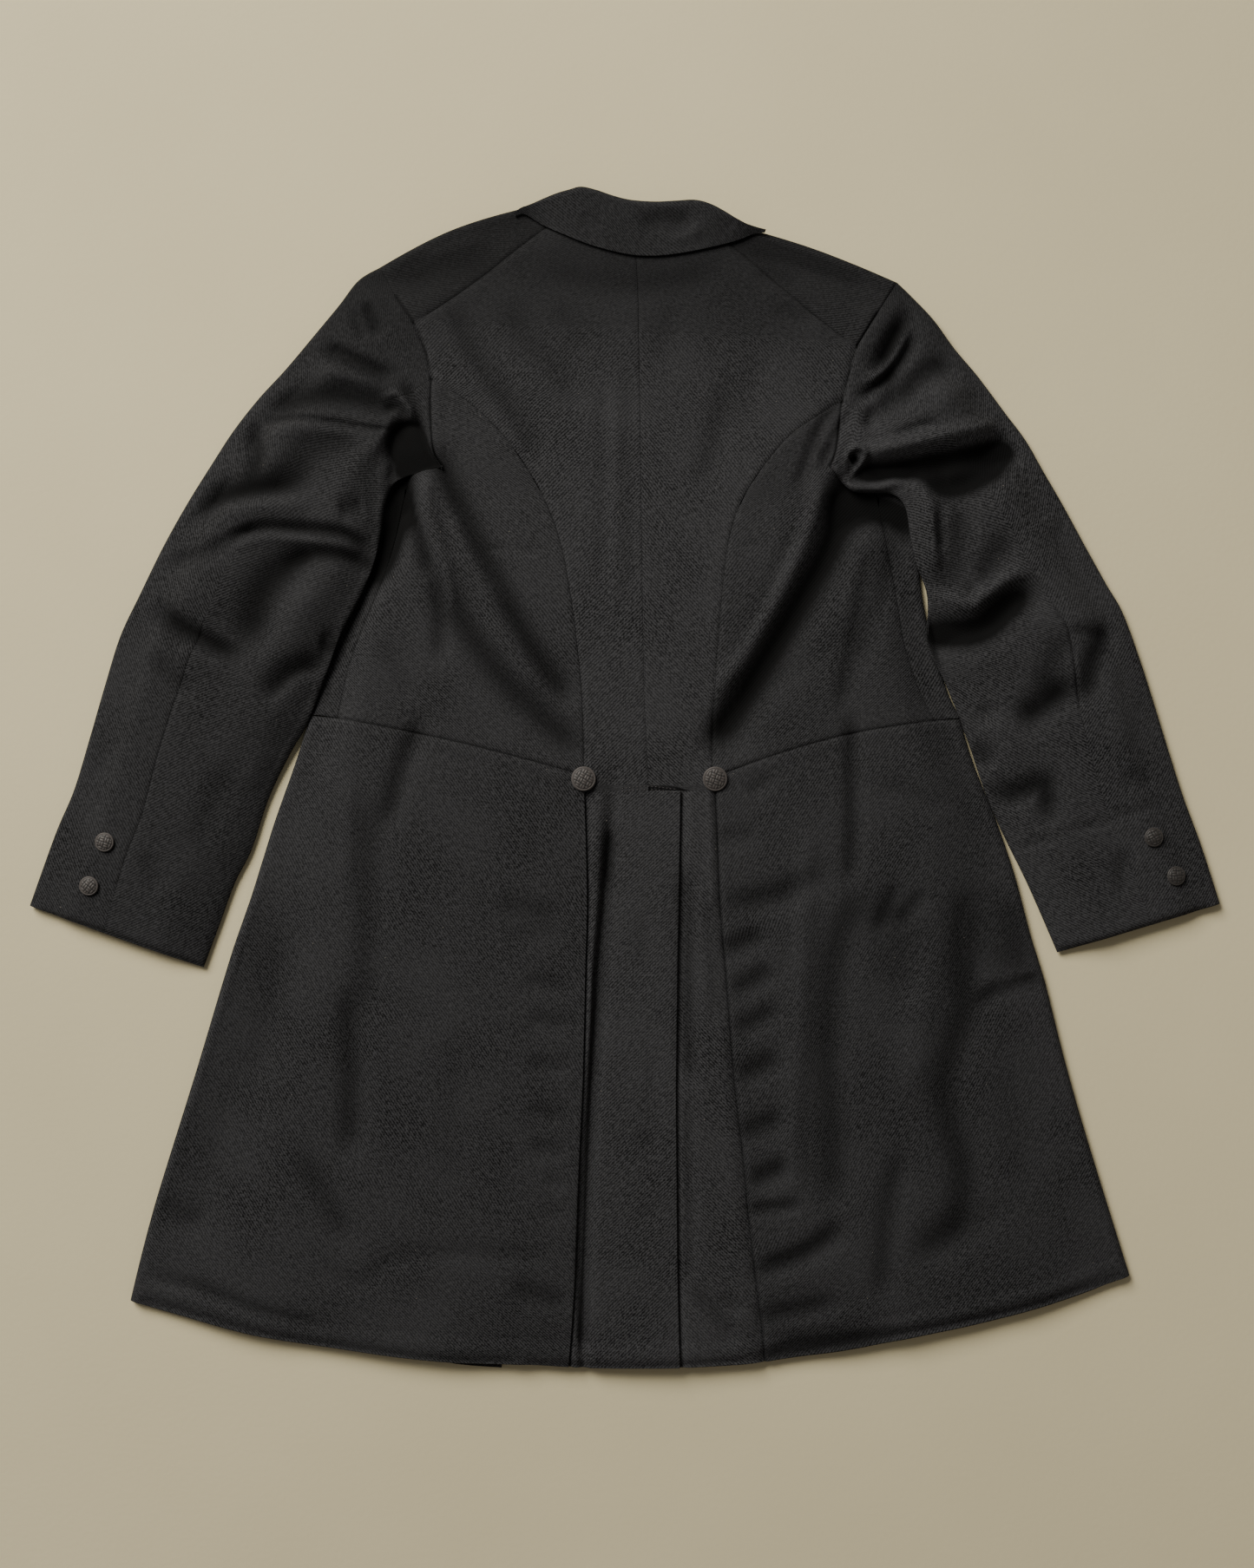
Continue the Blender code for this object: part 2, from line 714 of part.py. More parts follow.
def make_front(side):
    """One front, from the shoulder seam over the shoulder and round the side to the side seam."""
    sign = 1 if side == "left" else -1
    top, fold, bottom = scye(side)
    count = 8
    seam = list(reversed(dense(SHOULDER[side], 2)))
    seam = beside(seam, sign * SEAM_GAP / 2)
    outline = shoulder_fold(side)
    neck = NECK_END[side]
    seam[-1] = flat(neck[0])
    rows = [[raised(p, body_top(p.x, p.y)) for p in seam]]
    inner_line = []
    for i, point in enumerate(outline):
        way = outline[min(i + 1, count)] - outline[max(i - 1, 0)]
        inward = Vector((way.y, -way.x, 0)).normalized()
        if inward.y > 0:
            inward = -inward
        inner_line.append(point + inward * (FOLD_REACH - 2.5 * (i / count) ** 3))
    inner_line[0] = flat(top[0])
    inner_line[-1] = flat(neck[2])
    half = []
    for i in range(count + 1):
        middle = seam[i].lerp(inner_line[i], 0.5)
        middle += (flat(top[1]) - seam[0].lerp(inner_line[0], 0.5)) * (1 - i / count) ** 2
        middle += (flat(neck[1]) - seam[-1].lerp(inner_line[-1], 0.5)) * (i / count) ** 2
        half.append(raised(middle, body_top(middle.x, middle.y)))
    rows.append(half)
    over = [raised(p, body_top(p.x, p.y)) for p in inner_line]
    below = [raised(p, lapel_lift(side, p.x, p.y)) for p in inner_line]
    rounds = [half_round(a, b, c, 4) for a, b, c in zip(over, outline, below)]
    rows.append(over)
    rows += [[column[k] for column in rounds] for k in range(3)]
    rows.append(below)
    free = len(rows)
    arm = [raised(p, 0) for p in bottom[1:]] + [flat(p) for p in FRONT_SCYE[side]]
    front = [flat(p) for p in FRONT_EDGE[side]]
    folds = [flat(p) for p in SIDE_FOLD[side]]
    seams = [flat(p) for p in SIDE_SEAM[side]]
    ways = [(b - a).normalized() * FOLD_REACH for a, b in zip(folds, seams)]
    arm += [a + b for a, b in zip(folds, ways)]
    arm = beside([below[0]] + arm, sign * SEAM_GAP / 2)[1:]
    flats = ruled(arm, front[1:], even(count))
    for row in flats:
        rows.append([raised(p, lapel_lift(side, p.x, p.y)) for p in row])
    wrapped = len(rows) - len(folds)
    edge = beside(seams, -sign * SEAM_GAP / 2)
    for r, row in enumerate(rows):
        if r < wrapped:
            rows[r] = [row[0]] * 5 + row
            continue
        i = r - wrapped
        over = folds[i] + ways[i]
        over = raised(over, body_top(over.x, over.y))
        start = raised(edge[i], body_top(edge[i].x, edge[i].y))
        rows[r] = [start, over] + half_round(over, folds[i], row[0], 4) + row
    rows[-1] = [p + Vector((0, SEAM_GAP / 2 + (0.8 if 1 <= c <= 5 else 0), 0)) for c, p in enumerate(rows[-1])]
    for r in range(len(rows)):
        for c in range(5, len(rows[0])):
            point = rows[r][c]
            if r < free - 1 and c == 5:
                rows[r][c] = point + Vector((sign * (0.2 if r < 2 else 0.6), 0, 0))

    def cells(r, c):
        return c >= 5 or r >= wrapped

    piece = sheet("front_" + side, rows, COAT, cells)
    return piece


def make_lapel(side):
    rows = LAPEL[side]
    grid = ruled([flat(r[:2]) for r in rows], [flat(r[2:]) for r in rows], even(4))
    sheet("lapel_" + side, grid, COAT, up=False)


def make_skirt(side):
    """One skirt, from the pleat edge over the top, round the side and along the ground."""
    sign = 1 if side == "left" else -1
    steps = 11
    table = [Vector(row[0:2] + (0,)) for row in SKIRT[side]]
    pleat = dense(table, 2)
    fold = dense([row[2:4] for row in SKIRT[side]], 2)
    front = dense([row[4:6] for row in SKIRT[side]], 2)
    last = len(pleat) - 1
    rows = []
    for r in range(last + 1):
        way = (pleat[r] - fold[r]).normalized() * FOLD_REACH
        over = fold[r] + way

        def shifted(point):
            waist_line = pleat[0].y + (fold[0].y - pleat[0].y) * (point.x - pleat[0].x) / (fold[0].x - pleat[0].x)
            hem_line = pleat[last].y + (fold[last].y - pleat[last].y) * (point.x - pleat[last].x) / (
                fold[last].x - pleat[last].x
            )
            from_waist = max(1 - r / 6, 0) ** 2
            from_hem = max(1 - (last - r) / 6, 0) ** 2
            rise = from_waist * (curve(WAIST[side], point.x) - SEAM_GAP / 2 - waist_line)
            rise += from_hem * (curve(HEM, point.x) - hem_line)
            return Vector((point.x, point.y + rise, 0))

        line = [shifted(pleat[r].lerp(over, i / steps)) for i in range(steps + 1)]
        line = [raised(p, body_top(p.x, p.y)) for p in line]
        outer = shifted(fold[r])
        under = line[-1].copy()
        under.z = 0
        ground = []
        for i in range(1, 9):
            point = raised(under, 0).lerp(front[r], i / 8)
            span = (point.x - fold[last].x) / (front[last].x - fold[last].x)
            straight = fold[last].y + (front[last].y - fold[last].y) * span
            from_hem = max(1 - (last - r) / 6, 0) ** 2 * (1 if i < 8 else 0)
            point.y += from_hem * (curve(UNDER_HEM[side], point.x) - straight)
            ground.append(point)
        rows.append(line + half_round(line[-1], outer, under, 4) + [under] + ground)
    sheet("skirt_" + side, rows, COAT)


def sleeve_row(side, row, pulled):
    """Points round one section of a sleeve: top from the hind-arm seam to the outer fold,
    that fold, the bottom, the inner fold, and the top back to the seam."""
    ox, oy, ix, iy, seam, high, lift = row
    outer = Vector((ox, oy, 0))
    inner = Vector((ix, iy, 0))
    width = (inner - outer).length
    first = FOLD_REACH / width
    last = 1 - first

    def under(share):
        return lift * smooth((share - 0.55) / 0.4)

    def over(share):
        full = smooth((share - first) * width / 34) * smooth((last - share) * width / 30)
        height = EDGE_HIGH + (high - EDGE_HIGH) * full + under(share) * 0.9
        point = outer.lerp(inner, share)
        crease = fold_height(point.x, point.y)
        height += crease * smooth((share - first) * width / 14) * smooth((last - share) * width / 12)
        height = max(height, under(share) + 6.5)
        height += (body_top(point.x, point.y) - height) * pulled
        return raised(point, height)

    shares = [first + (seam - first) * i / 4 for i in range(5)]
    shares += [seam + (last - seam) * i / 5 for i in range(1, 6)]
    top = [over(s) for s in shares]
    grounds = [first + (last - first) * i / 8 for i in range(9)]
    bottom = [raised(outer.lerp(inner, s), under(s)) for s in grounds]
    return top, half_round(top[0], outer, bottom[0], 4), bottom, half_round(top[-1], inner, bottom[-1], 4)


def make_sleeve(side):
    sign = 1 if side == "left" else -1
    top, fold, bottom = scye(side)
    aside = [SEAM_GAP / 2] * 7 + [0.6, 1.5, 1.9]
    shift = Vector((-sign * SEAM_GAP / 2, 0, 0))
    top = [p - Vector((sign * more, 0, 0)) for p, more in zip(top, aside)]
    fold = [p + shift for p in fold]
    scoop = [flat(p) for p in FRONT_SCYE[side]]
    low = raised(scoop[0], 0.8) - Vector((sign * 1.8, 0, 0))
    lower = raised(scoop[1], 3.0) - Vector((sign * 2.2, 0, 0))
    pit = raised(top[-1], 7.5)
    bottom = [p + shift for p in bottom] + [low, lower, lower.lerp(pit, 0.5), pit]
    tip = flat(top[-1]) + Vector((-sign * 0.2, -0.5, 0))
    rings = [[top, fold, bottom, half_round(top[-1], tip, pit, 4)]]
    hole = list(top)
    pulls = (0.75, 0.45, 0.2, 0.05)
    for i, row in enumerate(SLEEVE[side]):
        rings.append(sleeve_row(side, row, pulls[i] if i < 4 else 0.0))
    for i, share in ((1, 0.55), (2, 0.22)):
        over = rings[i][0]
        start, end = over[0], over[-1]
        for k in range(1, 9):
            straight = hole[0].lerp(hole[-1], (over[k] - start).length / (end - start).length)
            shifted = (flat(hole[k]) - flat(straight)) * share
            over[k] = over[k] + shifted
    upper = []
    under = []
    for over, outer, ground, inner in rings:
        upper.append(list(reversed(over[:5])) + outer + ground[:8])
        under.append(over[4:] + inner + [ground[8], ground[7]])
    line = [row[0] for row in upper]
    for row, other, out, back in zip(upper, under, beside(line, -0.2 * sign), beside(line, 0.2 * sign)):
        row[0] = out
        other[0] = back
        row[-1] = row[-1] + (row[-2] - row[-1]).normalized() * 0.35
        other[-1] = other[-1] + (other[-2] - other[-1]).normalized() * 0.35
    sheet("top_sleeve_" + side, upper, COAT)
    sheet("under_sleeve_" + side, under, COAT)


def make_collar():
    """Stand and fall, one piece of cloth folded at the roll line."""
    ends = 3
    stand = [flat(NECK_END["left"][2]), flat(NECK_END["left"][1]), flat(NECK_END["left"][0])]
    stand += dense(NECK["left"], 2)[1:] + list(reversed(dense(NECK["right"], 2)))[1:-1]
    stand += [flat(p) for p in NECK_END["right"][:3]]
    count = len(stand) - 1
    roll = dense([row[:2] for row in COLLAR], 2)
    edge = dense([row[2:] for row in COLLAR], 2)
    full = 2
    rows = []
    for i, seam in enumerate(stand):
        place = i / count * (len(roll) - 1)
        outer = at(roll, place)
        fall = at(edge, place)
        seam = seam + Vector((0, SEAM_GAP / 2 + 0.1, 0))
        way = (fall - outer).normalized()
        whole = full <= i <= count - full
        reach = min(5.0, (fall - outer).length * 0.4) if whole else 0.5
        over = outer + way * reach
        near_end = min(i, count - i) / ends
        end = 1 - smooth(near_end)
        high = 15.2 - 3.6 * end
        low = 6.5 - 3.5 * end
        line = []
        for k in range(4):
            point = fall.lerp(over, k / 3)
            rest = body_top(fall.x, fall.y) + 2.7
            line.append(raised(point, rest + (high - rest) * k / 3))
        over = line[-1]
        under = raised(over, low)
        back = raised(seam, body_top(seam.x, seam.y) - CLOTH)
        line += half_round(over, outer, under, 4)
        line += [under, under.lerp(back, 0.5), back]
        rows.append(line)

    def cells(r, c):
        return c < 3 or full <= r < count - full

    sheet("collar", rows, COLLAR_CLOTH, cells)


def surface_below(x, y):
    """Height of the highest cloth at a point, looking past the gap of a seam."""
    best = 0.0
    for dx, dy in ((0, 0), (0.8, 0), (-0.8, 0), (0, 0.8), (0, -0.8)):
        for tree in OUTSIDES:
            hit = tree.ray_cast(Vector((x + dx, y + dy, 100)) * MM, Vector((0, 0, -1)))
            if hit[0] is not None:
                best = max(best, hit[0].z / MM)
    return best


def make_button(name, x, y, size):
    """A domed, cloth-covered button with a turned rim, seated on the cloth."""
    half = size / 2
    reach = half * 0.9
    slope_x = (surface_below(x + reach, y) - surface_below(x - reach, y)) / (2 * reach)
    slope_y = (surface_below(x, y + reach) - surface_below(x, y - reach)) / (2 * reach)
    base = surface_below(x, y)
    rise = 0.0
    for i in range(48):
        angle = i * math.tau / 16
        away = half * (0.5 + 0.3 * (i // 16))
        dx = away * math.cos(angle)
        dy = away * math.sin(angle)
        rise = max(rise, surface_below(x + dx, y + dy) - base - slope_x * dx - slope_y * dy)
    normal = Vector((-slope_x, -slope_y, 1)).normalized()
    profile = (
        (0.0, 0.0),
        (0.86 * half, 0.0),
        (half, 0.9),
        (half, 1.6),
        (0.93 * half, 2.3),
        (0.84 * half, 2.5),
        (0.55 * half, 3.3),
        (0.0, 3.8),
    )
    bm = bmesh.new()
    verts = [bm.verts.new(Vector((r, 0, z)) * MM) for r, z in profile]
    edges = [bm.edges.new(pair) for pair in zip(verts, verts[1:])]
    bmesh.ops.spin(bm, geom=verts + edges, cent=(0, 0, 0), axis=(0, 0, 1), angle=math.tau, steps=18)
    bmesh.ops.remove_doubles(bm, verts=bm.verts, dist=0.00001)
    bmesh.ops.recalc_face_normals(bm, faces=bm.faces)
    mesh = bpy.data.meshes.new(name)
    bm.to_mesh(mesh)
    bm.free()
    mesh.shade_smooth()
    mesh.set_sharp_from_angle(angle=math.radians(50))
    mesh.materials.append(material(name, BUTTON_CLOTH, 0.7))
    piece = bpy.data.objects.new(name, mesh)
    bpy.context.collection.objects.link(piece)
    piece.location = Vector((x, y, base + rise + BUTTON_SEAT)) * MM
    piece.rotation_euler = Vector((0, 0, 1)).rotation_difference(normal).to_euler()
    piece.parent = COAT_ROOT


for old in list(bpy.data.objects):
    bpy.data.objects.remove(old)

OUTSIDES = []
COAT_ROOT = bpy.data.objects.new("coat_root", None)
bpy.context.collection.objects.link(COAT_ROOT)

for SIDE in ("left", "right"):
    make_back(SIDE)
    make_side_back(SIDE)
    make_front(SIDE)
    make_lapel(SIDE)
    make_skirt(SIDE)
    make_sleeve(SIDE)
make_collar()

make_button("hip_button_left", -34.1, -1.1, HIP_BUTTON)
make_button("hip_button_right", 74.7, -1.1, HIP_BUTTON)
make_button("cuff_button_left_1", -430.7, -53.5, CUFF_BUTTON)
make_button("cuff_button_left_2", -443.9, -89.8, CUFF_BUTTON)
make_button("cuff_button_right_1", 437.9, -49.5, CUFF_BUTTON)
make_button("cuff_button_right_2", 456.8, -81.8, CUFF_BUTTON)
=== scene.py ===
# A black wool frock coat laid flat with its back up: its cloth, buttons, stitching, floor and light.
# Lengths are in millimetres until a mesh is made. X is across, Y runs from hem to collar, Z is up.

import json
import math

import bmesh
import bpy
import numpy as np
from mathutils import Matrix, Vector
from mathutils.bvhtree import BVHTree

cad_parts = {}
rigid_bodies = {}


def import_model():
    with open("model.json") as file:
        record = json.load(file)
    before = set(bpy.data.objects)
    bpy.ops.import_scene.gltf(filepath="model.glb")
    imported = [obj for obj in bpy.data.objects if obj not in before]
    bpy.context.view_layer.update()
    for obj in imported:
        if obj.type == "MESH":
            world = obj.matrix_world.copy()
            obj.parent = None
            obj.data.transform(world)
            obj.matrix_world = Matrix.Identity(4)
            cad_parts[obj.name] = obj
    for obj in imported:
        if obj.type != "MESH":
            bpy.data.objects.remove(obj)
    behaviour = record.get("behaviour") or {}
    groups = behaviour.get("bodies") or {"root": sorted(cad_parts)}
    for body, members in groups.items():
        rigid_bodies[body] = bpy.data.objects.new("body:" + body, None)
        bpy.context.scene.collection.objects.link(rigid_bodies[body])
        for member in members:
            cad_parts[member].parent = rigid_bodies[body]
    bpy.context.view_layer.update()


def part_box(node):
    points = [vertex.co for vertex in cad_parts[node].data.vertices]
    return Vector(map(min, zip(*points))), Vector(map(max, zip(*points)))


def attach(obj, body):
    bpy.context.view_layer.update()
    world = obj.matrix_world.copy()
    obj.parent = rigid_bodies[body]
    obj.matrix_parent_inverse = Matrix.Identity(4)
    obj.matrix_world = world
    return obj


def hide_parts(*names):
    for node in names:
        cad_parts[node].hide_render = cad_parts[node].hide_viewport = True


for old in list(bpy.data.objects):
    bpy.data.objects.remove(old)

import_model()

MM = 0.001

# The cloth's wall, the gap between two pieces at a seam, and how softly a trough ends on what is below.
CLOTH = 1.6
SEAM_GAP = 0.1
SOFTEST = 1.2
# How far in from a folded edge the cloth curves, and the height of that edge, free and under a sleeve.
FOLD_REACH = 7.0
EDGE_HIGH = 8.0
TUCKED_HIGH = 6.0
# How far a layer lies under the one over it, at the pleats and the vent, and at the close right pleat.
UNDER_STEP = 2.7
CLOSE_STEP = 2.0
PLEAT_UNDER = 17.0
# The depth at which a fold's painted shade is at its darkest, and how much more a seam's groove counts
# towards that painted shade.
SHADE_DEPTH = 8.0
SEAM_SHADE = 6.0
# A seam: its groove's half width and depth, the swell beside it, and the pucker of that.
GROOVE_HALF = 1.3
GROOVE_DEEP = 0.4
SWELL_AWAY = 6
SWELL_HALF = 4.5
SWELL_HIGH = 0.16
PUCKER_HIGH = 0.06
# The turned-up hem: its depth, its thickness, the pressed line over it, the wave of its edge, and
# the broader one of the skirt's end.
HEM_TURN = 20.0
HEM_THICK = 0.45
HEM_PRESSED = 0.35
HEM_WAVE = 0.16
HEM_SWAY = 1.8
# How far from its curved edge the body is at its full height, and how much further the skirts are.
BODY_ROUND = 38
SKIRT_ROUND = 60
# The longer side of the photograph's frame on the floor, its middle, and the lens.
VIEW_LENGTH = 1310.0
VIEW_MIDDLE = (1.8, -5.4)
LENS = 50.0
SENSOR = 36.0
# How much larger the top of the coat appears than if it were on the ground, and how far a fold's
# dark side is from its middle as a share of its half width.
SEEN = 1.009
DARK_SIDE = 0.2
# A sleeve's top: how far from its outer and its inner fold it is at its full height, the least it
# is above its lower side, and the least a trough leaves of that. The armpit's height.
OUTER_ROUND = 34
INNER_ROUND = 30
SLEEVE_LEAST = 6.5
TROUGH_LEAST = 4.2
PIT_HIGH = 7.5
# The collar: the height of the edge of its fall above the body, and above the ground the top and the
# bottom of its roll, with how much lower both are at its ends.
FALL_HIGH = 2.7
ROLL_TOP = 15.2
ROLL_BOTTOM = 6.5
ROLL_TOP_LESS = 3.6
ROLL_BOTTOM_LESS = 3.5
# Light from all round, and the floor's half width in metres.
ROOM_LIGHT = 0.24
FLOOR_HALF = 4.0
# The wool's grey colour, and the black of the shade painted into its folds and seams and over its
# shoulders.
WOOL_GREY = "#3A3A3C"
SHADE_BLACK = "#0B0B0C"
# The buttons' sizes; the height of their rim; and the woven cover: the width of a block, the cords
# in it, their relief and the rings of its mesh.
HIP_BUTTON = 20.5
CUFF_BUTTON = 16.0
RIM_HIGH = 2.0
BLOCK = 4.2
CORDS = 2
RELIEF = 0.55
FACE_RINGS = 34
# Out of reach of a line.
FAR = 1e6
# The way from each side of the coat to its middle, along X, and half a seam's gap that way.
SIGN = {"left": 1, "right": -1}
HALF_GAP = {side: SIGN[side] * SEAM_GAP / 2 for side in SIGN}


def pairs(*numbers):
    """The numbers two by two, as points."""
    return tuple(zip(numbers[::2], numbers[1::2]))


# Seams shared by two pieces, each as x, y down its line.
SHOULDER = {
    "left": pairs(-57, 463.5, -85, 442, -116, 417.5, -144, 396.5, -175, 376.3),
    "right": pairs(74, 454, 103, 430.5, 132, 404.5, 162, 379, 192, 356.3),
}
ARMHOLE = {
    "left": pairs(
        -204.5, 424.9, -190, 398.8, -175, 376.3, -164.6, 352.4, -160.2, 329.9, -160.8, 312, -160.4, 294,
        -159.2, 276.5, -156.5, 266, -150.8, 257.4
    ),
    "right": pairs(
        226.9, 412.5, 209, 384, 192, 356.3, 185.6, 334, 180, 311.5, 178.3, 299, 177, 287, 175.7, 276,
        173.3, 266, 169.7, 257.5
    ),
}
BACK_SEAM = {
    "left": pairs(
        -160.2, 329.9, -137.8, 316.8, -117.5, 300.9, -97, 279, -79.5, 254, -66, 229, -54, 197,
        -45.7, 156.6, -39.8, 113, -35.7, 69.6, -34.4, 33, -34, 1.8
    ),
    "right": pairs(
        180, 311.5, 160, 300, 136, 283, 117.5, 261.5, 102, 239, 91.5, 217, 84.8, 190, 80.3, 150,
        76.8, 108, 74.2, 69, 72.2, 33, 72.5, 0.6
    ),
}
CENTRE_SEAM = pairs(
    7.6, 450.5, 8.8, 436, 10.2, 418, 11.1, 395, 11.6, 367, 11.9, 344, 12.3, 321, 12.5, 307, 12.8, 289,
    13, 268, 13.3, 247, 13.6, 223, 14, 194, 14.5, 153, 15.3, 110, 16, 69, 17.6, 33, 19.2, 1, 19.6, -6.5
)
SIDE_SEAM = {
    "left": pairs(
        -179, 248.6, -184.5, 228, -191, 198, -204, 157, -221, 116, -230, 90, -235, 68, -238.5, 49.3
    ),
    "right": pairs(207, 240, 212, 222, 217.5, 193, 225, 153, 232, 112, 240, 85, 249, 63, 257.5, 47.2),
}
SIDE_FOLD = {
    "left": pairs(
        -222, 250, -226, 228, -232, 198, -240, 157, -248, 116, -254, 90, -258, 68, -262.4, 51.6
    ),
    "right": pairs(238, 236, 241, 222, 244, 193, 247.5, 153, 255.5, 112, 264, 85, 272, 64, 279.9, 48.6),
}
NECK = {
    "left": pairs(-57, 463.5, -42, 457, -26, 453.2, -9, 451.2, 7.6, 450.5),
    "right": pairs(74, 454, 58, 452.3, 42, 450.9, 25, 450.3, 7.6, 450.5),
}
# The end of each shoulder at the neck, under the collar, as x, y: on the seam, halfway,
# at the top of the shoulder fold, and on the fold.
NECK_END = {
    "left": pairs(-57.4, 464, -70, 468, -81.5, 470.8, -83, 474.6),
    "right": pairs(74.4, 454.5, 86, 454.6, 97.6, 453.4, 100, 458),
}
SHOULDER_BOW = {"left": 6, "right": 3}
# The front edge of each front on the ground, as x, y from the neck to the waist.
FRONT_EDGE = {
    "left": pairs(
        -80.5, 466, -78, 447, -72, 418, -65, 385, -57, 352, -47, 318, -37, 285, -28, 250, -22, 228,
        -14, 198, -6, 157, -2.5, 116, -2.2, 90, -2.2, 66, -2.2, 42
    ),
    "right": pairs(
        96, 450, 88, 435, 80, 408, 72, 377, 63, 346, 53, 314, 42, 283, 32, 249, 25, 226, 17, 196, 8, 156,
        2.8, 115, 2.2, 89, 2.2, 65, 2.2, 42
    ),
}
# The lower part of the armhole on the front, below the back one, as x, y.
FRONT_SCYE = {
    "left": pairs(-164.5, 304, -169.5, 279),
    "right": pairs(183.5, 290, 192, 268),
}
# Each lapel on the ground as rows of roll line x, y and outer edge x, y.
LAPEL = {
    "left": (
        (-76, 436, -128, 438), (-72, 418, -136, 419), (-65, 385, -124, 380), (-57, 352, -110, 343),
        (-47, 318, -94, 306), (-37, 285, -77, 271), (-28, 250, -59, 237), (-21, 224, -45, 212),
        (-14, 195, -30, 187), (-8, 168, -14, 165),
    ),
    "right": (
        (87, 426, 134, 424), (81, 408, 146, 405), (73, 377, 136, 370), (64, 346, 120, 336),
        (54, 314, 102, 302), (43, 283, 84, 269), (33, 249, 65, 236), (25, 223, 50, 211),
        (17, 195, 34, 187), (10, 168, 16, 165),
    ),
}
LAPEL_LIFT = 2.0

WAIST = {
    "left": pairs(
        -262.4, 51.6, -238.5, 49.3, -210, 44.2, -177.6, 37.9, -145, 31, -109.5, 22.4, -73, 12.8, -34, 1.8
    ),
    "right": pairs(
        72.5, 0.6, 84.8, 4.6, 108.4, 13.4, 137, 22.8, 167.8, 31.6, 185.6, 36, 209.5, 40.6, 245.4, 45.8,
        262, 47.8, 279.9, 48.6
    ),
}
HEM = pairs(
    -412, -435.5, -359.6, -449.5, -299.4, -464.7, -224, -476.3, -179.1, -482.1, -134, -486, -87, -487.6,
    -35.2, -490.4, 12.3, -490.3, 47.1, -489.8, 82.4, -488.2, 117, -485.6, 134.9, -482.5, 178.4, -476.3,
    238.5, -464.3, 298.7, -451.9, 358.9, -435.7, 420.5, -414.7
)
UNDER_HEM = {
    "left": pairs(
        -412, -435.5, -360, -446, -300, -460.5, -224, -473, -179, -481.5, -134, -490.5, -103, -492.4
    ),
    "right": pairs(
        93, -480, 134.9, -478, 178.4, -472, 238.5, -460, 298.7, -448, 358.9, -432.5, 420.5, -414.7
    ),
}
# Skirts, a row for each section: pleat edge x, y; side fold x, y; front edge x, y.
SKIRT = {
    "left": (
        (-34.6, 1.8, -262.4, 51.6, -2.6, 41.6), (-33.7, -12, -267.6, 34, -3.4, 25),
        (-32.4, -50, -277.7, 3.6, -6, -5), (-31.3, -105, -292.9, -39.9, -12, -58),
        (-32.6, -155, -311, -97.9, -22, -112), (-33.6, -205, -326, -141, -33, -165),
        (-35, -258, -341, -190, -46, -220), (-37.5, -312, -356.5, -242, -60, -275),
        (-39.6, -366, -373, -295, -72, -330), (-41.6, -418, -391, -353, -84, -385),
        (-44, -456, -403.5, -399.5, -94, -437), (-46.8, -489.2, -412, -435.5, -103, -492.4),
    ),
    "right": (
        (73.2, 0.6, 279.9, 48.6, 2.6, 41.6), (75.7, -12, 283.4, 34, 3.2, 25),
        (77.5, -50, 293.4, 4, 5.5, -5), (79.5, -105, 309, -34.8, 11, -58),
        (83.7, -155, 325, -82, 20, -112), (87.7, -205, 338, -131, 30, -165),
        (92, -258, 350, -170, 42, -220), (98.4, -312, 364, -226, 55, -275),
        (103.3, -366, 379.5, -282, 67, -330), (109.5, -418, 396, -336, 78, -385),
        (114.3, -456, 409.5, -379, 87, -437), (117, -485.6, 420.5, -414.7, 93, -480),
    ),
}
# X of the vent's top, at the end of the centre seam.
VENT_TOP = 19.5
# Back skirts below the waist: y; left pleat x; trough x beside it; vent edge x; right pleat x.
BACK_CORNER = {"left": (-34.1, -6.5), "right": (74.5, -6.5)}
BACK_SKIRT = (
    (-11, -33, -8, 46.2, 74.9), (-50, -32, -12.3, 45.6, 77), (-105, -30.9, -17.4, 44.8, 79.1),
    (-155, -32.2, -22.8, 43.8, 83.3), (-205, -33.2, -24.6, 43.2, 87.3), (-258, -34.6, -27.1, 42.5, 91.6),
    (-312, -37.1, -29.3, 42.8, 98), (-366, -39.2, -31.2, 43.3, 102.9), (-418, -41.2, -33.2, 43.9, 109.1),
    (-456, -43.6, -34, 44.8, 113.9), (-489.5, -46.4, -34.6, 45.7, 116.6),
)
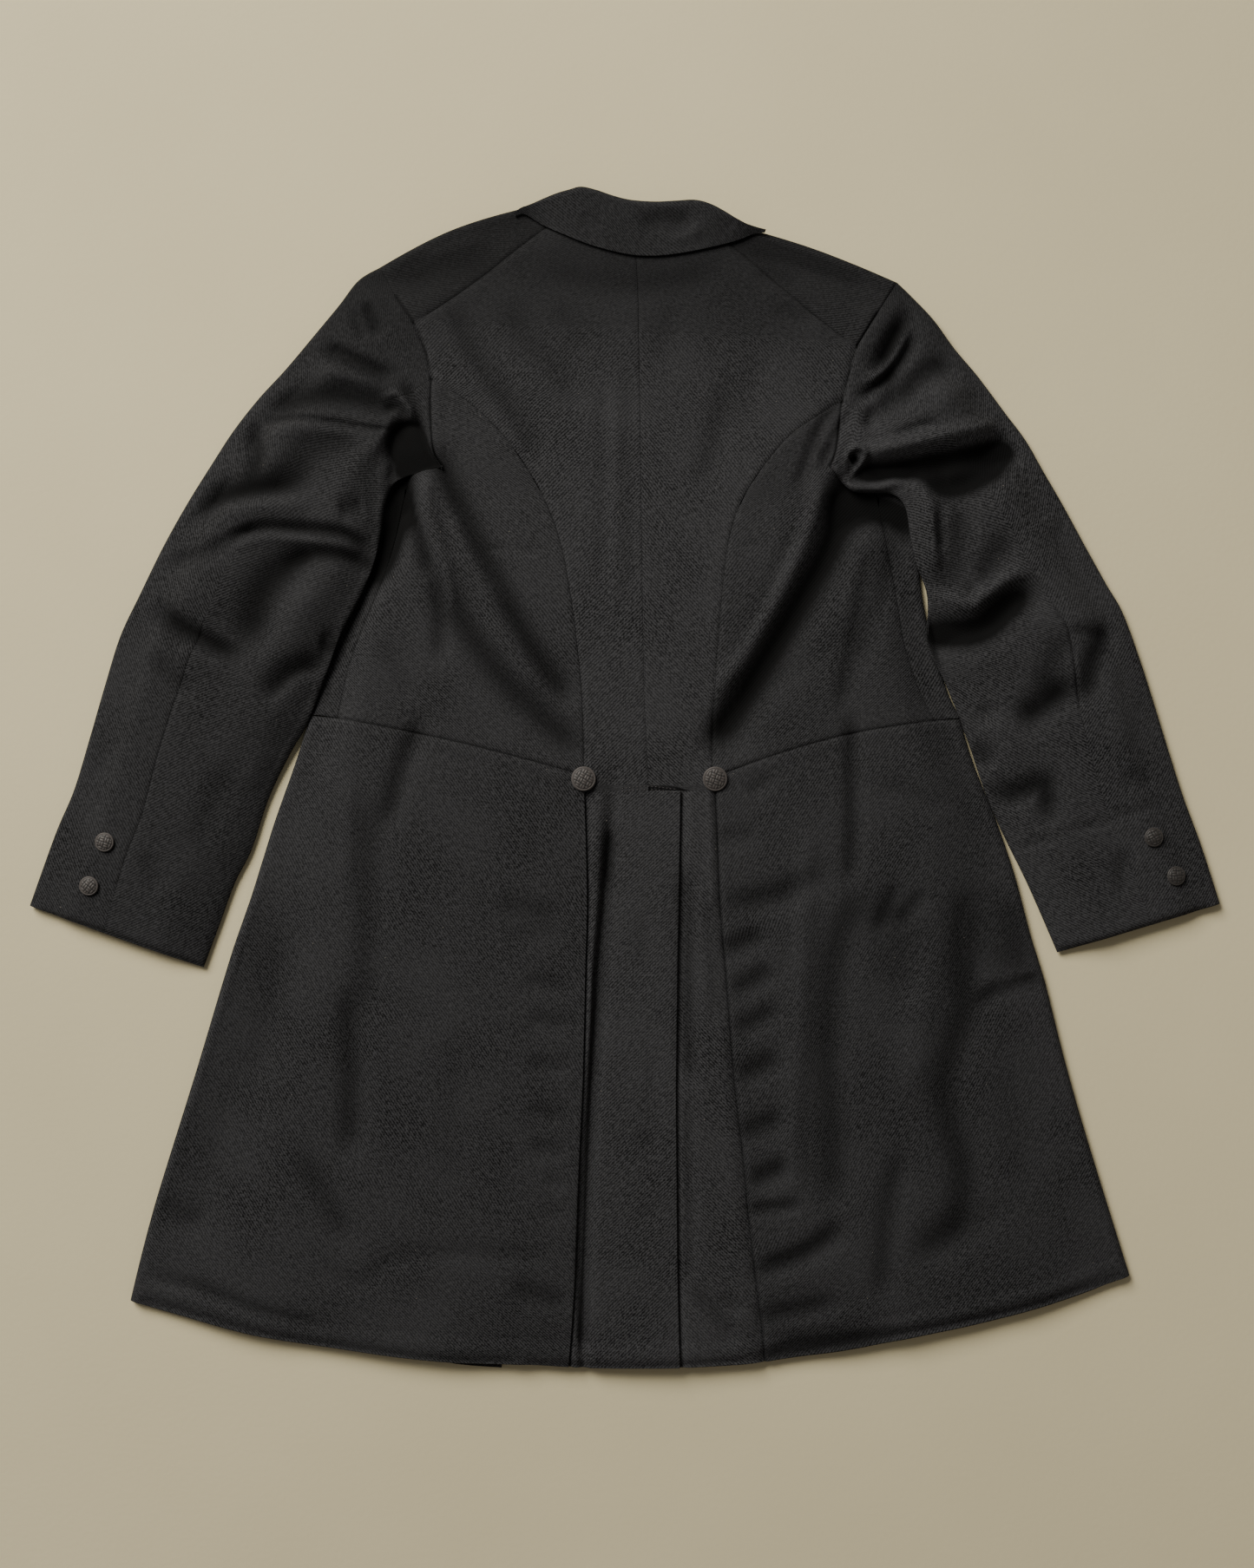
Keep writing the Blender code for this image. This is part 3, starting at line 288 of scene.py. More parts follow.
# Sleeves, a row for each section: outer edge x, y; inner edge x, y; share of the width
# at the hind-arm seam; height; how far the inner edge lies up on the body.
SLEEVE = {
    "left": (
        (-221.9, 414, -157, 255.5, 0.66, 18, 7.5), (-238, 393, -168, 252.5, 0.58, 18, 7.5),
        (-258.8, 368.3, -181, 249.5, 0.5, 19, 7.5), (-282.8, 340, -193, 242, 0.44, 20, 7.5),
        (-305, 316, -199.5, 224, 0.4, 20, 7.5), (-326, 289.3, -202.4, 203, 0.37, 20, 7.5),
        (-344.4, 261, -208.8, 176, 0.355, 20, 7.5), (-364.7, 228.4, -220, 149, 0.35, 18, 7.5),
        (-385, 192, -236, 118, 0.35, 18, 7.5), (-404, 153, -247.2, 87.5, 0.355, 18, 6.5),
        (-420.5, 118, -263, 47, 0.365, 17, 3), (-433, 78, -278.5, 20, 0.375, 17, 1),
        (-446, 33, -296.5, -17, 0.385, 16, 0), (-459, -10, -311, -60, 0.4, 16, 0),
        (-473, -43, -325, -88, 0.41, 15, 0), (-486, -78.5, -337.5, -122, 0.42, 14, 0),
        (-495.9, -106.6, -350.9, -158, 0.43, 13, 0),
    ),
    "right": (
        (238.5, 401, 180, 245, 0.66, 18, 7.5), (257, 381, 190, 237, 0.58, 18, 7.5),
        (274.8, 357, 207, 236, 0.5, 20, 7.5), (294.4, 334, 222, 235, 0.46, 20, 7.5),
        (316.8, 304, 232.5, 225, 0.43, 20, 7.5), (334, 281, 237, 203, 0.4, 20, 6),
        (350, 253, 242, 178, 0.38, 19, 3), (364.7, 227.7, 250.5, 157, 0.37, 18, 1),
        (383, 194, 252.4, 138, 0.36, 18, 0), (400.9, 161.7, 250, 110, 0.32, 18, 0),
        (414.7, 137.8, 260.5, 91, 0.31, 18, 0), (429, 99, 270.3, 70, 0.35, 17, 0),
        (439, 68, 285.8, 30, 0.4, 17, 0), (451, 29, 300, -12, 0.42, 16, 0),
        (465, -15, 315.5, -48, 0.43, 15, 0), (480, -55.8, 336, -90, 0.43, 14, 0),
        (495.9, -105, 360.3, -145.7, 0.43, 13, 0),
    ),
}
# Collar, a row for each section: roll line x, y; edge of the fall x, y.
COLLAR = (
    (-93, 471.4, -92.2, 470.6), (-87, 475, -84.5, 472.8), (-81.5, 476.6, -76.5, 467.4),
    (-71, 481.5, -66.5, 461.3), (-58.5, 487, -55.5, 456), (-47, 490.3, -42, 450.2),
    (-36, 493, -29, 445.3), (-21, 489.4, -13, 440.6), (-5, 483.8, 1, 437.6), (10, 481.4, 12, 436.2),
    (25, 480.4, 27, 436), (42, 481.2, 43.5, 437.8), (60, 482, 62, 441), (74, 477.6, 76, 444.6),
    (88, 469.6, 90, 448.8), (99, 462.6, 101, 452.6), (110, 459, 109, 456.4), (118, 457.4, 117.2, 456.6),
)

# Height of the back above the ground along the coat: y, height.
HOLLOW = pairs(-492, 13, -400, 14, -200, 15, 0, 16, 100, 17, 200, 18, 300, 18, 380, 16, 430, 14, 490, 13)

# Creases of the cloth. Each is its half width; its height, less than zero for a trough; its lean, which
# is how much wider it falls to the left of its line; and the line it runs along, as x, y.
COLLAR_CREASES = (
    (12, -3.8, 0, 6, 466, 32, 472, 60, 466),
    (6, 1.8, 0, 36, 448, 52, 454, 66, 462),
    (3, -0.35, 0, -74, 468, -30, 452, 10, 444, 45, 446, 90, 457),
    (9, -0.9, 0, -40, 470, -20, 462),
    (7, -0.8, 0, 75, 468, 92, 462),
)
BODY_CREASES = (
    # Left back and side body.
    (12, -12, 0, -192, 318, -190, 280, -190, 248, -191, 230, -196, 208, -204, 184, -214, 156),
    (6, -6, -0.35, -188, 252, -183, 236, -177, 219, -171, 202, -166, 186, -160, 164),
    (6, 3.2, 0, -168, 258, -164, 226, -156, 196, -149, 168, -145, 132),
    (7, -3.4, 0, -160, 184, -156, 140, -155, 92),
    (10, -6.6, 0.3, -165, 284, -150, 250, -134, 215, -119, 182, -100, 146, -76, 104, -44, 58),
    (7, 2.4, 0, -146, 228, -134, 198, -118, 168, -100, 138),
    (13, -5.8, 0, -154, 178, -140, 138, -118, 104, -90, 70, -60, 42, -30, 14),
    (7, 2, 0, -122, 140, -98, 104, -70, 72),
    (10, -3.4, 0.2, -145, 400, -138, 378, -124, 350, -104, 320, -84, 290, -70, 258),
    (11, -2.6, 0, -98, 404, -84, 370, -58, 340, -34, 308),
    (2.2, -1.2, 0, -123, 193, -91, 191, -70, 188),
    (5, 0.9, 0, -9, 360, -8, 290, -8, 142),
    (5, -0.8, 0, 3, 345, 5, 260, 7, 150),
    (6, -0.8, 0, -20, 330, -19, 250, -22, 160),
    (7, -4.5, 0, -206, 182, -216, 158, -230, 132, -243, 104, -252, 84),
    (10, -1.8, 0, -205, 120, -190, 90, -178, 62),
    (15, -3.6, 0, -204, 408, -168, 424, -130, 432, -96, 440),
    (9, 1.4, 0, -176, 436, -150, 446, -118, 454),
    (12, -2.4, 0, -76, 428, -34, 416, 10, 412, 56, 418, 86, 430),
    (10, -1.4, 0, -60, 398, -44, 378, -30, 350),
    (11, -1.2, 0, 40, 402, 34, 372, 30, 340),
    # Right back and side body.
    (10, -3.4, 0, 84, 446, 116, 442, 160, 430, 206, 414),
    (9, -2.2, 0, 104, 424, 132, 420, 150, 412),
    (6, 1.2, 0, 120, 433, 160, 420, 196, 404),
    (14, -9.6, 0.2, 198, 292, 184, 248, 175, 216, 166, 190, 152, 164, 136, 136, 118, 106, 100, 76, 80,
     46, 62, 18),
    (7, 4, 0, 164, 258, 158, 226, 146, 194, 130, 160, 112, 126, 92, 94, 74, 68),
    (8, -2, 0, 150, 214, 134, 186, 108, 130, 84, 92),
    (15, -11, 0, 160, 234, 188, 229, 208, 228, 226, 222, 252, 200),
    (8, -3, 0.2, 205, 200, 196, 150, 188, 112, 178, 50),
    (9, -2.4, 0, 228, 206, 218, 170, 204, 128, 194, 86),
    (11, -2.2, 0, 90, 345, 80, 306, 70, 268, 62, 236),
    (8, -1.6, 0, 120, 392, 140, 388, 158, 380),
    (9, -1.2, 0, 112, 360, 102, 322, 96, 284),
    (2.2, -1, 0, 99, 195, 114, 195),
    (5, -3.6, 0, 196, 318, 182, 296, 170, 276, 160, 252),
    (6, -2.8, 0, 186, 324, 164, 296, 150, 262, 142, 236),
    (4, 1.6, 0, 184, 296, 170, 276),
    (10, -1.2, 0, 196, 128, 152, 99, 118, 78),
    # Left skirt.
    (9, -4.2, 0, -168, 58, -187, 12, -202, -46),
    (7, 1.8, 0, -231, 8, -232, -44, -233, -92),
    (13, -3, 0, -212, -10, -216, -100, -218, -210),
    (10, -4.4, 0, -234, -170, -230, -250, -232, -322),
    (10, -3.6, 0, -278, -308, -252, -352, -228, -394),
    (8, -1.5, 0, -262, -404, -224, -422, -196, -402, -160, -397, -100, -398, -58, -400),
    (11, -3, 0, -402, -348, -378, -360, -350, -370),
    (6, -2.8, 0, -404, -412, -350, -430, -300, -448, -250, -460),
    (11, -2.8, 0, -112, -104, -84, -110, -50, -114),
    (9, -1.6, 0, -104, -132, -48, -128),
    (2, -0.5, 0, -73, 3, -76, -78),
    (12, -1.4, 0, -292, -120, -300, -190, -318, -260),
    (34, -2.2, 0, -300, -60, -320, -140, -352, -260, -384, -380),
    (4, -2.4, 0, -420, -434, -360, -450, -300, -466, -224, -478, -150, -487, -90, -489),
    (13, -1.2, 0, -140, -200, -146, -290, -140, -350),
    (7, -2.2, 0, -88, -168, -44, -176),
    (7, -2.2, 0, -84, -200, -44, -208),
    (7, -2.2, 0, -86, -236, -46, -244),
    (7, -2.2, 0, -84, -276, -48, -286),
    (7, -2.2, 0, -82, -306, -48, -314),
    (5, -1.6, 0, -68, -334, -50, -340),
    (5, -1.2, 0, -74, -362, -52, -366),
    (10, -3.4, 0, -100, -424, -72, -434, -46, -442),
    # Right skirt.
    (7.5, -4, 0, 189, 60, 189, 10, 190, -44, 188, -92),
    (13, -4.2, 0, 212, -92, 192, -108, 178, -140, 171, -190, 170, -250, 174, -300, 172, -366),
    (24, -3, 0, 190, -104, 226, -128, 236, -190),
    (9, 2.4, 0, 152, -40, 149, -120, 145, -200, 140, -280, 141, -346),
    (7, -3.4, 0, 228, -84, 220, -104, 206, -132),
    (7, -3.2, 0, 252, -92, 236, -110, 222, -124),
    (11, -4.4, 0, 76, -106, 122, -98, 172, -78),
    (9, -2, 0, 74, -50, 112, -46),
    (9, -4.6, 0, 78, -144, 96, -138, 118, -128),
    (9, -4, 0, 84, -178, 102, -172, 126, -158),
    (9, -4, 0, 88, -212, 106, -204, 130, -190),
    (10, -4.6, 0, 90, -250, 108, -243, 130, -230),
    (9, -4.2, 0, 94, -298, 112, -292, 134, -280),
    (9, -5.2, 0, 100, -336, 118, -332, 140, -320),
    (6, -4, 0, 98, -362, 124, -360, 152, -356),
    (9, -5.6, 0, 102, -414, 128, -406, 158, -392, 186, -370),
    (9, -3.8, 0, 106, -452, 140, -446, 184, -436),
    (8, -3.2, 0, 120, -472, 160, -470, 214, -462),
    (22, -4.4, 0, 318, -84, 322, -130, 316, -170),
    (6, -5, 0.4, 360, -160, 332, -167, 304, -178, 290, -192),
    (14, -5, 0, 292, -80, 284, -120, 283, -165, 284, -195, 274, -225, 267, -258, 272, -292, 282, -330,
     278, -364, 258, -388, 230, -402),
    (12, -1.6, 0, 322, -350, 292, -372, 262, -388),
    (10, -3.6, 0, 230, -306, 219, -368, 214, -440),
    (14, -1.2, 0, 316, -230, 328, -290, 340, -350),
    (12, 2, 0, 250, -130, 246, -200, 238, -270),
    (9, -1.6, 0, 208, -1, 275, -27),
    (7, -1.8, 0, 101, -15, 123, 3),
    (7, -4.4, 0, 104, -487, 140, -480.5, 180, -474.5, 232, -464),
    (3.8, -3.4, 0, 215, -468, 300, -452, 360, -436.5, 426, -412),
    # Back skirts and vent.
    (7, -2, 0, -12, 14, -13, -20, -16, -60, -19, -100),
    (6, -4.6, 0.4, -13, -36, -19, -110, -26, -200, -33, -300, -38, -400, -38, -486),
    (8, -3.6, 0, 50, -70, 52, -130, 52, -200, 54, -262),
    (6, -2.2, 0, 51, -262, 53, -340, 52, -430),
    (7, -1.8, 0, 70, -96, 74, -150, 78, -210),
    (9, -1.2, 0, 16, -108, 12, -167),
    (7, -2.6, 0, 53, -423, 74, -448, 96, -478),
    (6, -1.8, 0, 79, -430, 97, -448),
    (8, -0.8, 0, 22, -220, 20, -330),
    (7, -1, 0, 4, -300, 26, -306),
    (7, -1, 0, 8, -360, 30, -368),
    (4, -2.2, 0, -90, -490, -35, -493, 12, -492.5, 60, -491, 112, -487),
)
SLEEVE_CREASES = (
    # Left sleeve, from its head to its cuff.
    (6, -5, 0, -219, 402, -213, 386, -205, 368),
    (5, -3, 0, -230, 396, -224, 378, -216, 364),
    (5, -4.4, 0, -201, 402, -192, 386),
    (8, -6, -0.3, -262, 370, -246, 360, -226, 350, -206, 341, -186, 335),
    (6, 2.2, 0, -262, 346, -232, 336, -204, 328),
    (12, -6.6, 0, -312, 302, -286, 315, -262, 321, -238, 321, -212, 317, -180, 311),
    (3, 3, 0, -206, 317, -192, 321, -182, 312, -175, 298),
    (4, -3.6, 0, -205, 309, -190, 310, -182, 300),
    (5, -4.4, 0, -190, 334, -174, 311, -166, 290),
    (3, -3, -0.3, -306, 299, -282, 302, -260, 300, -238, 297, -214, 293, -194, 291),
    (9, -6, 0, -316, 312, -312, 284, -310, 268, -322, 248),
    (7, 1.8, 0, -300, 290, -262, 292, -215, 286),
    (13, -8, 0, -388, 222, -352, 235, -318, 243, -288, 248, -258, 252),
    (16, -4.4, 0, -290, 250, -274, 264, -252, 280, -214, 286),
    (8, 3, 0, -352, 224, -320, 228, -288, 231, -262, 226),
    (9, -4, 0, -242, 224, -218, 228),
    (8, -3.4, -0.2, -400, 182, -362, 187, -340, 196, -318, 206),
    (7, -6.8, -0.35, -336, 200, -316, 208, -300, 211, -276, 210, -250, 208, -230, 203, -208, 188),
    (5, 4.2, 0, -330, 192, -308, 202, -284, 202, -256, 198, -232, 194, -214, 184),
    (9, -7, 0, -196, 172, -222, 183, -246, 189, -268, 188, -292, 178),
    (18, -7, 0, -262, 190, -284, 180, -299, 168, -309, 150, -314, 130, -320, 100),
    (14, 3, 0, -246, 168, -270, 150, -292, 116, -300, 92),
    (10, -7.6, -0.35, -396, 152, -386, 140, -370, 128, -350, 117, -334, 108, -316, 100),
    (12, 2, 0, -336, 140, -354, 152, -374, 164),
    (9, 2.2, 0, -330, 92, -352, 100, -378, 112),
    (9, -6.6, 0, -258, 113, -238, 112),
    (9, -6.6, -0.3, -246, 96, -262, 95, -278, 90, -294, 76, -300, 60),
    (9, -2.8, 0, -401, 107, -375, 80, -355, 80),
    (5, 1.6, 0, -194, 296, -199, 275, -203, 250, -205, 228, -210, 205),
    (15, -36, 0, -204, 292, -180, 280, -160, 267, -140, 256),
    (10, -12, 0, -200, 262, -178, 256, -160, 256, -140, 254),
    (2.4, 9, 0, -194, 262, -174, 262, -152, 266),
    (13, -2.4, 0, -330, 20, -352, -30, -368, -70),
    (10, -2, 0, -438, 40, -450, 0),
    (8, -2.2, 0, -405, -60, -390, -96),
    (7.5, -3.8, 0, -260, 50, -279, 14, -297, -22, -312, -62, -327, -96, -339, -125, -350, -160),
    (2.2, -2.4, 0, -504, -107, -440, -128, -346, -161.5),
    (11, 1.8, 0, -300, 30, -318, -10),
    # Right sleeve, from its head to its cuff.
    (11, -8.8, 0, 246, 414, 236, 394, 224, 371, 213, 351, 202, 334),
    (3.6, 3.4, 0, 240, 384, 227, 358, 213, 339, 197, 327),
    (5, -5.6, 0.3, 243, 376, 231, 352, 218, 337, 202, 325, 184, 317),
    (10, -5.4, 0, 292, 354, 262, 346, 240, 331, 218, 304),
    (7, -2.8, 0, 226, 346, 220, 322, 214, 298),
    (10, 2.4, 0, 300, 336, 272, 322, 252, 304),
    (6, -3.2, 0, 208, 312, 200, 290),
    (4, -2.4, 0, 222, 286, 248, 295, 266, 299),
    (5.5, 4.2, 0, 196, 272, 220, 276, 250, 283, 282, 291, 318, 300),
    (10, -11.5, 0, 176, 254, 200, 256, 220, 257, 242, 261, 272, 267, 302, 273, 340, 283),
    (14, -11, 0, 238, 256, 256, 249, 276, 248, 298, 258, 326, 278),
    (5, 6, 0, 180, 247, 196, 243, 212, 244, 226, 248, 238, 246),
    (2.6, 4.6, 0, 182, 258, 184, 268, 190, 275, 198, 274, 200, 267, 192, 256, 186, 249),
    (4, -7, 0, 187, 265, 194, 269),
    (7, 5, -0.3, 232, 248, 246, 243, 252, 230, 255, 210, 257, 188, 259, 164),
    (4, -3.2, 0, 264, 236, 263, 212, 265, 186),
    (12, -4.2, 0, 276, 232, 276, 192, 270, 146),
    (12, -4.4, 0, 326, 206, 308, 186, 294, 158),
    (6, -2.6, 0, 288, 168, 287, 142),
    (6, 4, 0, 256, 156, 274, 149, 288, 147, 300, 153, 318, 167, 340, 172),
    (14, -12, 0, 228, 124, 256, 124, 284, 124, 301, 130, 315, 143, 330, 155, 350, 166),
    (6, -3, 0, 368, 124, 390, 122, 410, 121),
    (11, -6.4, 0, 408, 130, 392, 104, 382, 58),
    (12, -3.4, 0, 372, 128, 358, 98, 342, 66),
    (9, -2.6, 0, 300, 64, 304, 44),
    (10, 0.7, 0, 430, 85, 415, 50, 408, 20),
    (12, -7, 0, 322, 46, 350, 64, 378, 86),
    (9, -4.5, 0, 288, 24, 310, 16),
    (11, -6.4, 0, 296, -6, 322, -12, 350, -6, 352, -44),
    (9, 2.2, 0, 300, 60, 318, 30, 326, 8),
    (9, -2, 0, 411, 0, 444, 0),
    (8, -2.6, 0, 425, -61, 414, -74, 415, -99),
    (1.7, -2.2, 0, 330, -58, 372, -45.5, 400, -36.5, 415, -32, 454, -19),
    (2.2, -2.8, 0, 346, -150, 400, -136.5, 440, -123.5, 502, -105),
    (10, -2.4, 0, 350, 320, 330, 300, 318, 280),
    (10, 2, 0, 390, 230, 362, 222, 345, 205),
)

# The hind-arm seam of each sleeve as a fine line, below its folds: the first and last of the
# sleeve's rows that it shows on, and its height.
HIND_SEAM_HALF = 1.5
HIND_SEAM = {"left": (9, 15, -0.7), "right": (9, 12, -1.3)}
VENT_TACK = pairs(-2.9, -9.2, 18.9, -7.3, 45.3, -10.2)


def smooth(share):
    share = np.clip(share, 0.0, 1.0)
    return share * share * (3.0 - 2.0 * share)


def flat(point):
    return Vector((point[0], point[1], 0.0))


def flats(points):
    return [flat(p) for p in points]


def blends(t):
    """How much a stretch's start, leaving slope, end and arriving slope count at t."""
    return 2 * t**3 - 3 * t**2 + 1, t**3 - 2 * t**2 + t, 3 * t**2 - 2 * t**3, t**3 - t**2


def dense(points, per=2):
    """A smooth line through the points, with each stretch between two of them in equal steps."""
    points = flats(points)
    last = len(points) - 1
    line = []
    for i in range(last):
        start = points[i]
        end = points[i + 1]
        leave = (end - points[max(i - 1, 0)]) / 2
        arrive = (points[min(i + 2, last)] - start) / 2
        for step in range(per):
            a, b, c, d = blends(step / per)
            line.append(start * a + leave * b + end * c + arrive * d)
    line.append(points[last])
    return line


def at(line, place):
    """A point of a line, counted in its stretches and parts of one."""
    index = min(int(place), len(line) - 2)
    return line[index].lerp(line[index + 1], place - index)


def curve(table, x):
    """The second column of a table at a place in its first, with no corners."""
    if x <= table[0][0]:
        return table[0][1]
    if x >= table[-1][0]:
        return table[-1][1]
    i = max(k for k in range(len(table) - 1) if table[k][0] <= x)
    x0, y0 = table[i]
    x1, y1 = table[i + 1]
    span = x1 - x0
    before = table[max(i - 1, 0)]
    after = table[min(i + 2, len(table) - 1)]
    leave = (y1 - before[1]) / (x1 - before[0])
    arrive = (after[1] - y0) / (after[0] - x0)
    a, b, c, d = blends((x - x0) / span)
    return y0 * a + leave * (b * span) + y1 * c + arrive * (d * span)


def beside(line, distance):
    """The line moved sideways, to the left of the way it runs."""
    moved = []
    for i, point in enumerate(line):
        way = line[min(i + 1, len(line) - 1)] - line[max(i - 1, 0)]
        way.normalize()
        moved.append(point + Vector((-way.y, way.x, 0)) * distance)
    return moved


def shoulder_fold(side):
    """The folded edge along the shoulder, from the armhole to the neck."""
    outer = flat(ARMHOLE[side][0])
    neck = flat(NECK_END[side][3])
    across = (neck - outer).normalized()
    up = Vector((-across.y, across.x, 0))
    if up.y < 0:
        up = -up
    bow = up * SHOULDER_BOW[side]
    return [outer.lerp(neck, share) + bow * math.sin(math.pi * share) for share in even(8)]


def body_outline(side):
    """The folded edges all round the body, as two lines."""
    skirt = [row[2:4] for row in SKIRT[side][1:]]
    return shoulder_fold(side), flats(list(SIDE_FOLD[side]) + skirt)


def near_line(line, x, y, reach):
    """For each place: its distance from a line, on which side of it, and how far along it that is.
    Places out of reach are given as far away."""
    away = np.full(x.shape, FAR)
    side = np.ones(x.shape)
    along = np.zeros(x.shape)
    xs = [p[0] for p in line]
    ys = [p[1] for p in line]
    close = (x > min(xs) - reach) & (x < max(xs) + reach) & (y > min(ys) - reach) & (y < max(ys) + reach)
    if not close.any():
        return away, side, along
    px, py = x[close], y[close]
    best = np.full(px.shape, FAR)
    turn = np.ones(px.shape)
    place = np.zeros(px.shape)
    passed = 0.0
    for start, end in zip(line, line[1:]):
        run, rise = end[0] - start[0], end[1] - start[1]
        length = math.hypot(run, rise)
        share = np.clip(((px - start[0]) * run + (py - start[1]) * rise) / length**2, 0, 1)
        dx = px - start[0] - run * share
        dy = py - start[1] - rise * share
        distance = np.hypot(dx, dy)
        nearer = distance < best
        best = np.where(nearer, distance, best)
        turn = np.where(nearer, np.sign(run * dy - rise * dx), turn)
        place = np.where(nearer, passed + share * length, place)
        passed += length
    away[close] = best
    side[close] = turn
    along[close] = place
    return away, side, along


def line_length(line):
    return sum(math.dist(a[:2], b[:2]) for a, b in zip(line, line[1:]))


def crease_height(creases, x, y):
    """The heights of all the creases at each place, added up. They are measured as the photograph shows
    them, which is further from its middle than they lie, by the height of the cloth, and nearer the
    window, because a fold is darkest on that side."""
    x = VIEW_MIDDLE[0] + (x - VIEW_MIDDLE[0]) * SEEN
    y = VIEW_MIDDLE[1] + (y - VIEW_MIDDLE[1]) * SEEN
    height = np.zeros(x.shape)
    for width, depth, lean, *places in creases:
        line = pairs(*places)
        line = dense(line, 3) if len(line) > 2 else flats(line)
        length = line_length(line)
        away, side, along = near_line(line, x - DARK_SIDE * width, y + DARK_SIDE * width, 3 * width)
        wide = width * (1 + lean * side)
        fade = min(0.35 * length, 2.5 * width + 8)
        ends = smooth(along / fade + 0.12) * smooth((length - along) / fade + 0.12)
        height += depth * ends * np.exp(-((away / wide) ** 2))
    return height


def seam_height(x, y):
    """The groove of each seam, the swell of its turnings beside it, and a little pucker along it."""
    height = np.zeros(x.shape)
    for line, strength in SEAMS:
        away, _, along = near_line(line, x, y, 30)
        pucker = np.sin(along / 4.1) + np.sin(along / 6.7 + 1.3)
        swell = np.exp(-(((away - SWELL_AWAY) / SWELL_HALF) ** 2))
        height -= strength * GROOVE_DEEP * np.exp(-((away / GROOVE_HALF) ** 2))
        height += strength * (SWELL_HIGH + PUCKER_HIGH * pucker) * swell
    return height


def hem_height(x, y):
    """The turned-up hem: thicker cloth below a soft pressed line."""
    up = y - np.interp(x, *HEM_LINE)
    turned = smooth((HEM_TURN - up) / 4)
    groove = np.exp(-(((up - HEM_TURN - 1) / 2.2) ** 2))
    wave = np.sin(x / 13.0) + np.sin(x / 7.7 + 2.0)
    return HEM_THICK * turned - HEM_PRESSED * groove + HEM_WAVE * wave * smooth((30 - up) / 25)


def edge_and_base(x, y):
    """Height of the body at its folded edge, and its height with no creases."""
    away = np.full(x.shape, FAR)
    for line in OUTLINE:
        away = np.minimum(away, near_line(line, x, y, FAR)[0])
    tucked = np.where(x < 0, smooth((y - 40) / 40) * smooth((262 - y) / 20), 0.0)
    edge = EDGE_HIGH - (EDGE_HIGH - TUCKED_HIGH) * tucked
    middle = np.interp(y, *HOLLOW_LINE)
    hem = smooth((-430 - y) / 60) * HEM_SWAY * np.sin(x / 31.0 + 0.6)
    rise = BODY_ROUND + SKIRT_ROUND * smooth(-y / 160)
    base = edge + (middle + hem - edge) * smooth((away - FOLD_REACH) / rise)
    return away, edge, base


def body_top(x, y):
    """Height of the outside of the coat's body, with its seams and creases."""
    x = np.atleast_1d(np.asarray(x, float))
    y = np.atleast_1d(np.asarray(y, float))
    away, edge, base = edge_and_base(x, y)
    inside = smooth((away - 5) / 12)
    height = base + crease_height(BODY_CREASES, x, y) * inside
    height += (seam_height(x, y) + hem_height(x, y)) * smooth((away - 3) / 6)
    return np.maximum(height, edge - 0.6)


def top_at(point):
    """Height of the body at a point, with no creases."""
    return float(edge_and_base(np.array([point[0]]), np.array([point[1]]))[2][0])


def raised(point, height):
    return Vector((point.x, point.y, height))


def on_top(line):
    """The line laid on top of the body."""
    return [raised(p, top_at(p)) for p in line]


def half_round(top, outer, bottom, steps=4):
    """Points round a folded edge between its top and its bottom, without those two."""
    middle = (top.z + bottom.z) / 2
    half = (top.z - bottom.z) / 2
    points = []
    for i in range(1, steps):
        angle = math.pi / 2 - math.pi * i / steps
        inner = top.lerp(bottom, i / steps)
        x = inner.x + (outer.x - inner.x) * math.cos(angle)
        y = inner.y + (outer.y - inner.y) * math.cos(angle)
        points.append(Vector((x, y, middle + half * math.sin(angle))))
    return points


def ruled(left, right, shares):
    """Rows of points on straight lines between two lines."""
    return [[a.lerp(b, s) for s in shares] for a, b in zip(left, right)]


def bend(grid, edge, reach):
    """Moves the first row onto an edge, and the rows after it less and less."""
    shifts = [e - p for e, p in zip(edge, grid[0])]
    for i in range(reach):
        for c, shift in enumerate(shifts):
            grid[i][c] = grid[i][c] + shift * (1 - i / reach) ** 2


def even(count):
    return [i / count for i in range(count + 1)]


def fill_between(grid, zones):
    """Adds smooth rows between the rows of a grid. A zone is its last row, the steps in each of
    its spans, and the ends where the steps start small. Also gives the span each new row is in."""
    rows = []
    owners = []
    start = 0
    for end, per, fine in zones:
        for i in range(start, end):
            here, ahead = grid[i], grid[i + 1]
            leave = (ahead - grid[max(i - 1, start)]) / 2
            arrive = (grid[min(i + 2, end)] - here) / 2
            for step in range(per):
                t = step / per
                if i == start and fine in ("start", "both"):
                    t = t**1.6
                elif i == end - 1 and fine in ("end", "both"):
                    t = 1 - (1 - t) ** 1.6
                a, b, c, d = blends(t)
                rows.append(here * a + leave * b + ahead * c + arrive * d)
                owners.append(i)
        start = end
    rows.append(grid[-1])
    return np.array(rows), owners


def over_body(side, x, y):
    """How surely a place beside the armpit is over the body: 1 well inside its edge, 0 outside it."""
    pit = sorted([ARMHOLE[side][-1], SIDE_SEAM[side][0], SIDE_FOLD[side][0]])
    top = np.interp(x, *zip(*pit))
    edge = np.interp(y, *zip(*sorted((p[1], p[0]) for p in SIDE_FOLD[side])))
    inward = (x - edge) * SIGN[side]
    return smooth((top - y + 3) / 7) * smooth((inward + 3) / 8) * smooth((y - 44) / 12)


def new_piece(name, bm, cover):
    """Makes a shape into an object with its material."""
    mesh = bpy.data.meshes.new(name)
    bm.to_mesh(mesh)
    bm.free()
    mesh.shade_smooth()
    mesh.materials.append(cover)
    piece = bpy.data.objects.new(name, mesh)
    bpy.context.collection.objects.link(piece)
    return piece


